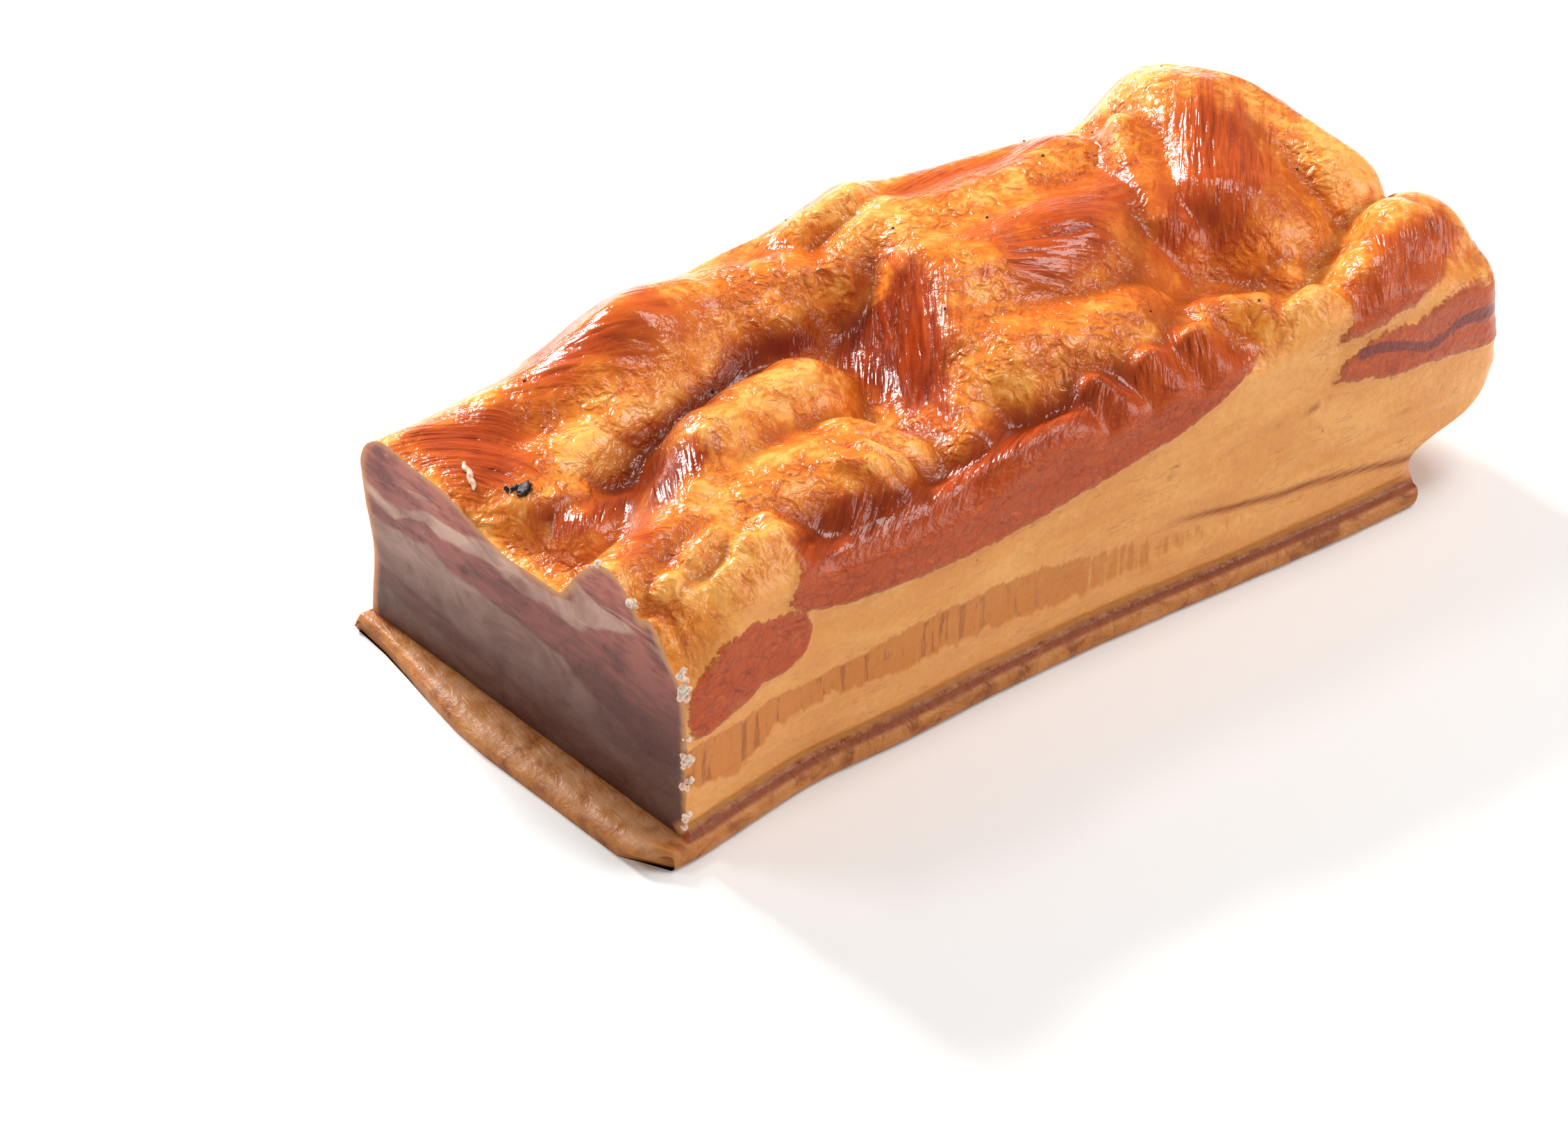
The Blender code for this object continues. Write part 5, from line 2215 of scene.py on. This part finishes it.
@dataclass(frozen=True)
class Scatter:
    """Strews small lumps over a surface with a node tree, then keeps them as a plain mesh."""

    name: str
    finish: PlainFinish
    density: float
    seed: int
    radius: float
    least: float
    most: float
    roughness: float
    bump_closeness: float = 700.0

    def tree(self) -> bpy.types.NodeTree:
        """Build the node tree that strews the lumps, with its inputs named.

        Returns:
            The node tree.
        """
        tree = bpy.data.node_groups.new(self.name, "GeometryNodeTree")
        sockets = tree.interface
        sockets.new_socket("Geometry", in_out="INPUT", socket_type="NodeSocketGeometry")
        for label in ("Density", "Radius", "Least", "Most", "Roughness"):
            sockets.new_socket(label, in_out="INPUT", socket_type="NodeSocketFloat")
        sockets.new_socket("Seed", in_out="INPUT", socket_type="NodeSocketInt")
        sockets.new_socket("Geometry", in_out="OUTPUT", socket_type="NodeSocketGeometry")
        given = add_node(tree, "NodeGroupInput").outputs
        seed = {"Seed": given["Seed"]}

        # Points on the surface, as close together as its painted thickness says
        name = {"Name": "thick"}
        thick = add_node(tree, "GeometryNodeInputNamedAttribute", {"data_type": "FLOAT"}, name)
        links = {0: thick.outputs["Attribute"], 1: given["Density"]}
        density = add_node(tree, "ShaderNodeMath", {"operation": "MULTIPLY"}, links=links).outputs[0]
        links = {"Mesh": given["Geometry"], "Density": density} | seed
        spots = add_node(tree, "GeometryNodeDistributePointsOnFaces", links=links).outputs["Points"]

        # A ball on each point, of random size and turn
        links = {"Radius": given["Radius"]}
        fine = {"Subdivisions": 3}
        ball = add_node(tree, "GeometryNodeMeshIcoSphere", values=fine, links=links).outputs["Mesh"]
        links = {"Min": given["Least"], "Max": given["Most"]} | seed
        size = add_node(tree, "FunctionNodeRandomValue", {"data_type": "FLOAT"}, links=links).outputs[1]
        limits = {"Min": (0.0, 0.0, 0.0), "Max": (6.28, 6.28, 6.28)}
        vector = {"data_type": "FLOAT_VECTOR"}
        turn = add_node(tree, "FunctionNodeRandomValue", vector, limits, seed).outputs["Value"]
        links = {"Points": spots, "Instance": ball, "Rotation": turn, "Scale": size}
        balls = add_node(tree, "GeometryNodeInstanceOnPoints", links=links).outputs["Instances"]
        solid = add_node(tree, "GeometryNodeRealizeInstances", links={"Geometry": balls}).outputs["Geometry"]

        # Noise pushes the balls out of shape
        noise = {"Scale": self.bump_closeness, "Detail": 2.0}
        bumpy = add_node(tree, "ShaderNodeTexNoise", values=noise).outputs["Color"]
        half = {1: (0.5, 0.5, 0.5)}
        centred = add_node(tree, "ShaderNodeVectorMath", {"operation": "SUBTRACT"}, half, {0: bumpy})
        links = {0: centred.outputs[0], "Scale": given["Roughness"]}
        push = add_node(tree, "ShaderNodeVectorMath", {"operation": "SCALE"}, links=links).outputs[0]
        links = {"Geometry": solid, "Offset": push}
        rough = add_node(tree, "GeometryNodeSetPosition", links=links).outputs["Geometry"]
        material = {"Material": self.finish.material()}
        dressed = add_node(tree, "GeometryNodeSetMaterial", values=material, links={"Geometry": rough})
        add_node(tree, "NodeGroupOutput", links={"Geometry": dressed.outputs["Geometry"]})
        return tree

    def strew(self, surface: bpy.types.Mesh) -> bpy.types.Object:
        """Strew the lumps over a surface.

        Args:
            surface: Mesh with a value named thick, the share of the density.

        Returns:
            The lumps as one object.
        """
        carrier = bpy.data.objects.new(self.name + "_carrier", surface)
        bpy.context.scene.collection.objects.link(carrier)
        modifier = carrier.modifiers.new(self.name, "NODES")
        modifier.node_group = self.tree()
        values = {
            "Density": self.density,
            "Radius": self.radius * MILLIMETRE,
            "Least": self.least,
            "Most": self.most,
            "Roughness": self.roughness * MILLIMETRE,
            "Seed": self.seed,
        }
        for item in modifier.node_group.interface.items_tree:
            if item.name in values:
                modifier[item.identifier] = values[item.name]
        shown = carrier.evaluated_get(bpy.context.evaluated_depsgraph_get())
        mesh = bpy.data.meshes.new_from_object(shown)
        carrier.modifiers.clear()
        bpy.data.objects.remove(carrier)
        mesh.name = self.name
        return placed(mesh)


@dataclass(frozen=True)
class TornFat:
    """Crumbs of white fat along the cut: down its near edge and on the crest of the lip."""

    form: SlabForm
    edge_heights: tuple[float, float, int] = (7.0, 53.0, 70)
    edge_side: Triple = (2.0, -0.4, 0.0)
    lip_places: tuple[float, float, int] = (-24.0, -39.0, 40)
    lip_side: Triple = (1.8, 0.0, 0.3)
    lip_inset: float = 0.3
    lip_lift: float = 0.2
    clump: float = 5.0

    def ribbon(self, shell: Shell, path: Points, side: Triple) -> Points:
        """Add a ribbon along a path, thick with crumbs in clumps.

        Args:
            shell: Where its points and faces go.
            path: Points along its middle.
            side: Offset from one edge of the ribbon to the other.

        Returns:
            Its thickness values.
        """
        rows = shell.add_points(np.stack([path - np.array(side) / 2, path + np.array(side) / 2]))
        shell.faces += SlabSkin.quads(rows.T)
        thick = ease(-0.05, 0.5, LatticeNoise(5).at(path / self.clump))
        return np.concatenate([thick, thick])

    def surface(self, shift: Points) -> bpy.types.Mesh:
        """Lay out the two ribbons.

        Args:
            shift: Place of the drawing's zero in the frame, in millimetres.

        Returns:
            The mesh to strew crumbs over.
        """
        form = self.form
        shell = Shell()
        z = np.linspace(*self.edge_heights)
        y = form.near_foot(form.cut_x(np.full_like(z, -form.rind_width / 2))) - form.near_wall_out(z)
        thick = [self.ribbon(shell, np.column_stack([form.cut_x(y), y, z]), self.edge_side)]
        y = np.linspace(*self.lip_places)
        x = form.cut_x(y) + self.lip_inset
        crest = np.column_stack([x, y, form.top_height(x, y) + self.lip_lift])
        thick.append(self.ribbon(shell, crest, self.lip_side))
        mesh = bpy.data.meshes.new("torn_edge")
        mesh.from_pydata(((np.concatenate(shell.points) + shift) * MILLIMETRE).tolist(), [], shell.faces)
        store_values(mesh, "thick", np.concatenate(thick))
        return mesh

    def make(self, shift: Points) -> bpy.types.Object:
        """Strew the crumbs."""
        crumbs = Scatter("fat_crumbs", CRUMB_FAT, 2.6e6, 4, 0.6, 0.3, 1.5, 1.1)
        return crumbs.strew(self.surface(shift))


@dataclass(frozen=True)
class PepperGrains:
    """A few crushed grains of pepper stuck to the crust."""

    density: float = 450.0

    def make(self, slab: bpy.types.Object) -> bpy.types.Object:
        """Strew the grains over the upper side of the finished slab.

        Args:
            slab: The finished slab.

        Returns:
            The grains.
        """
        surface = slab.data.copy()
        upward = read_values(surface.vertices, "normal", 3)[:, 2]
        wall = read_values(surface.attributes["wall"].data, "value", 1)[:, 0]
        store_values(surface, "thick", (upward > 0.2) * (wall < 0.5) * 1.0)
        grains = Scatter("pepper_grains", CHARRED_SPICE, self.density, 8, 0.3, 0.5, 1.3, 0.35)
        return grains.strew(surface)


@dataclass(frozen=True)
class Lump:
    """A lump, longer than wide and turned about the upright axis."""

    centre: Triple
    radii: Triple
    turn: float

    def placed(self, ball: Points) -> Points:
        """Stretch, turn and move a ball.

        Args:
            ball: Points of a ball of radius 1.

        Returns:
            The moved points.
        """
        x, y, z = (ball * self.radii).T
        cosine = np.cos(self.turn)
        sine = np.sin(self.turn)
        return np.stack([x * cosine - y * sine, x * sine + y * cosine, z], axis=1) + self.centre


@dataclass(frozen=True)
class CharredLump:
    """A charred lump of spice in the basin beside the cut, in three grown-together bits."""

    lumps: tuple[Lump, ...] = (
        Lump((3.0, 10.6, 58.5), (2.1, 1.4, 1.2), 0.5),
        Lump((1.4, 12.0, 58.4), (1.3, 1.0, 0.9), -0.4),
        Lump((-0.1, 13.3, 58.2), (0.7, 0.6, 0.5), 0.2),
    )
    roughness: float = 0.95
    bump_length: float = 1.3

    def make(self, shift: Points) -> bpy.types.Object:
        """Build the lump.

        Args:
            shift: Place of the drawing's zero in the frame, in millimetres.

        Returns:
            The lump.
        """
        shape = bmesh.new()
        for _ in self.lumps:
            bmesh.ops.create_icosphere(shape, subdivisions=4, radius=1.0)
        mesh = bpy.data.meshes.new("charred_lump")
        shape.to_mesh(mesh)
        shape.free()
        balls = np.split(read_values(mesh.vertices, "co", 3), len(self.lumps))
        points = np.concatenate([lump.placed(ball) for lump, ball in zip(self.lumps, balls)])
        noise = LatticeNoise(3)
        push = [noise.layered(points / self.bump_length + start, 2) for start in (0.0, 9.0, 23.0)]
        points = (points + self.roughness * np.stack(push, axis=1) + shift) * MILLIMETRE
        mesh.vertices.foreach_set("co", points.astype(np.float32).ravel())
        return placed(mesh, CHARRED_SPICE.material())


@dataclass(frozen=True)
class SinewStrand:
    """A short pale strand of sinew that lies on the lean beside the cut."""

    form: SlabForm
    path: Stations = ((-2.8, 26.0), (-3.6, 24.4), (-3.5, 22.6), (-4.4, 21.0), (-4.6, 19.4), (-5.4, 18.2))
    radius: float = 0.8
    tip: float = 0.25
    lift: float = 0.35
    flatness: float = 0.7
    lumpiness: float = 0.35
    lump_length: float = 1.6
    sides: int = 10
    steps: int = 40

    def make(self, shift: Points) -> bpy.types.Object:
        """Build the strand.

        Args:
            shift: Place of the drawing's zero in the frame, in millimetres.

        Returns:
            The strand.
        """
        share = np.linspace(0.0, 1.0, self.steps)
        marks = np.linspace(0.0, 1.0, len(self.path))
        x, y = (along(tuple(zip(marks, places)), share) for places in zip(*self.path))
        middle = np.column_stack([x, y, self.form.top_height(x, y) + self.lift])
        run = np.gradient(middle, axis=0)
        run /= np.linalg.norm(run, axis=1)[:, None]
        side = np.cross(run, (0.0, 0.0, 1.0))
        side /= np.linalg.norm(side, axis=1)[:, None]
        lumpy = 1.0 + self.lumpiness * LatticeNoise(13).at(middle / self.lump_length)
        radius = (self.tip + (self.radius - self.tip) * np.sin(np.pi * share) ** 0.6) * lumpy
        turn = np.arange(self.sides) * 2 * np.pi / self.sides
        reach_side = (radius[:, None] * np.cos(turn))[..., None] * side[:, None]
        reach_up = (radius[:, None] * np.sin(turn))[..., None] * np.cross(side, run)[:, None]
        points = middle[:, None] + reach_side + self.flatness * reach_up
        shell = Shell()
        numbers = shell.add_points((points + shift) * MILLIMETRE)
        faces = SlabSkin.quads(np.concatenate([numbers, numbers[:, :1]], axis=1))
        faces += [tuple(numbers[0].tolist()), tuple(numbers[-1][::-1].tolist())]
        mesh = bpy.data.meshes.new("sinew_strand")
        mesh.from_pydata(shell.points[0].tolist(), [], faces)
        face_outwards(mesh)
        return placed(mesh, DRY_SINEW.material())


@dataclass(frozen=True)
class SoftLight:
    """A soft rectangular light that looks at a target, in metres and watts."""

    name: str
    place: Triple
    target: Triple
    size: tuple[float, float]
    power: float

    def add(self) -> None:
        """Hang the light."""
        data = bpy.data.lights.new(self.name, "AREA")
        data.shape = "RECTANGLE"
        data.size, data.size_y = self.size
        data.energy = self.power
        aim(bpy.data.objects.new(self.name, data), Vector(self.place), Vector(self.target))


@dataclass(frozen=True)
class Studio:
    """A pale floor, soft light from behind and the photograph's view."""

    floor_size: float = 6.0
    floor_colour: str = "f4f3f1"
    floor_roughness: float = 0.9
    lens: float = 90.94
    camera_place: Triple = (-351.05, -569.94, 583.80)
    camera_target: Triple = (51.96, -17.42, 30.0)
    sky: float = 0.3
    lights: tuple[SoftLight, ...] = (
        SoftLight("key", (-0.12, 1.2, 0.75), (0.0, 0.0, 0.04), (0.42, 0.3), 33.0),
        SoftLight("glint", (-0.72, 0.66, 0.95), (0.0, 0.0, 0.06), (0.34, 0.12), 3.0),
        SoftLight("top", (0.5, -0.1, 1.3), (0.02, 0.0, 0.04), (0.5, 0.5), 9.0),
        SoftLight("front", (1.05, -1.0, 0.75), (0.0, 0.0, 0.04), (0.9, 0.7), 11.0),
    )

    def build(self, shift: Points) -> bpy.types.Object:
        """Set up floor, light and camera.

        Args:
            shift: Place of the drawing's zero in the frame, in millimetres.

        Returns:
            The floor.
        """
        scene = bpy.context.scene
        scene.view_settings.view_transform = "Standard"
        scene.view_settings.look = "None"
        scene.world = bpy.data.worlds.new("studio")
        scene.world.use_nodes = True
        background = scene.world.node_tree.nodes["Background"].inputs
        background["Color"].default_value = (1.0, 1.0, 1.0, 1.0)
        background["Strength"].default_value = self.sky
        for light in self.lights:
            light.add()
        points = (self.camera_place, self.camera_target)
        place, target = (Vector((np.array(point) + shift) * MILLIMETRE) for point in points)
        view = bpy.data.cameras.new("photo_view")
        view.lens = self.lens
        view.sensor_width = 36.0
        view.sensor_fit = "HORIZONTAL"
        view.clip_start = 0.01
        scene.camera = aim(bpy.data.objects.new("photo_view", view), place, target)
        return self.add_floor()

    def add_floor(self) -> bpy.types.Object:
        """Lay a matt pale floor.

        Returns:
            The floor.
        """
        half = self.floor_size / 2
        mesh = bpy.data.meshes.new("floor")
        corners = [(-half, -half, 0), (half, -half, 0), (half, half, 0), (-half, half, 0)]
        mesh.from_pydata(corners, [], [(0, 1, 2, 3)])
        tree = FinishTree("matt_paper")
        values = {"Base Color": linear(self.floor_colour), "Roughness": self.floor_roughness}
        shader = tree.node("BsdfPrincipled", values=values)
        tree.node("OutputMaterial", links={"Surface": shader.outputs["BSDF"]})
        mesh.materials.append(tree.material)
        floor = bpy.data.objects.new("floor", mesh)
        bpy.context.scene.collection.objects.link(floor)
        return floor


def report(piece: bpy.types.Object) -> None:
    """Log a piece's size in triangles."""
    triangles = sum(len(face.vertices) - 2 for face in piece.data.polygons)
    log.info("%s: %d triangles", piece.name, triangles)


def main() -> None:
    """Build the slab and its surroundings."""
    form = SlabForm()
    slab = SmokedSlab(form)
    skin = slab.make()
    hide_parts(NODE_NAME)
    shift = slab.shift()
    pieces = [
        skin,
        TornFat(form).make(shift),
        PepperGrains().make(skin),
        CharredLump().make(shift),
        SinewStrand(form).make(shift),
    ]
    for piece in pieces:
        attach(piece, BODY_NAME)
        report(piece)
    Studio().build(shift)


if __name__ == "__main__":
    logging.basicConfig(level=logging.INFO, format="%(name)s: %(message)s")
    main()
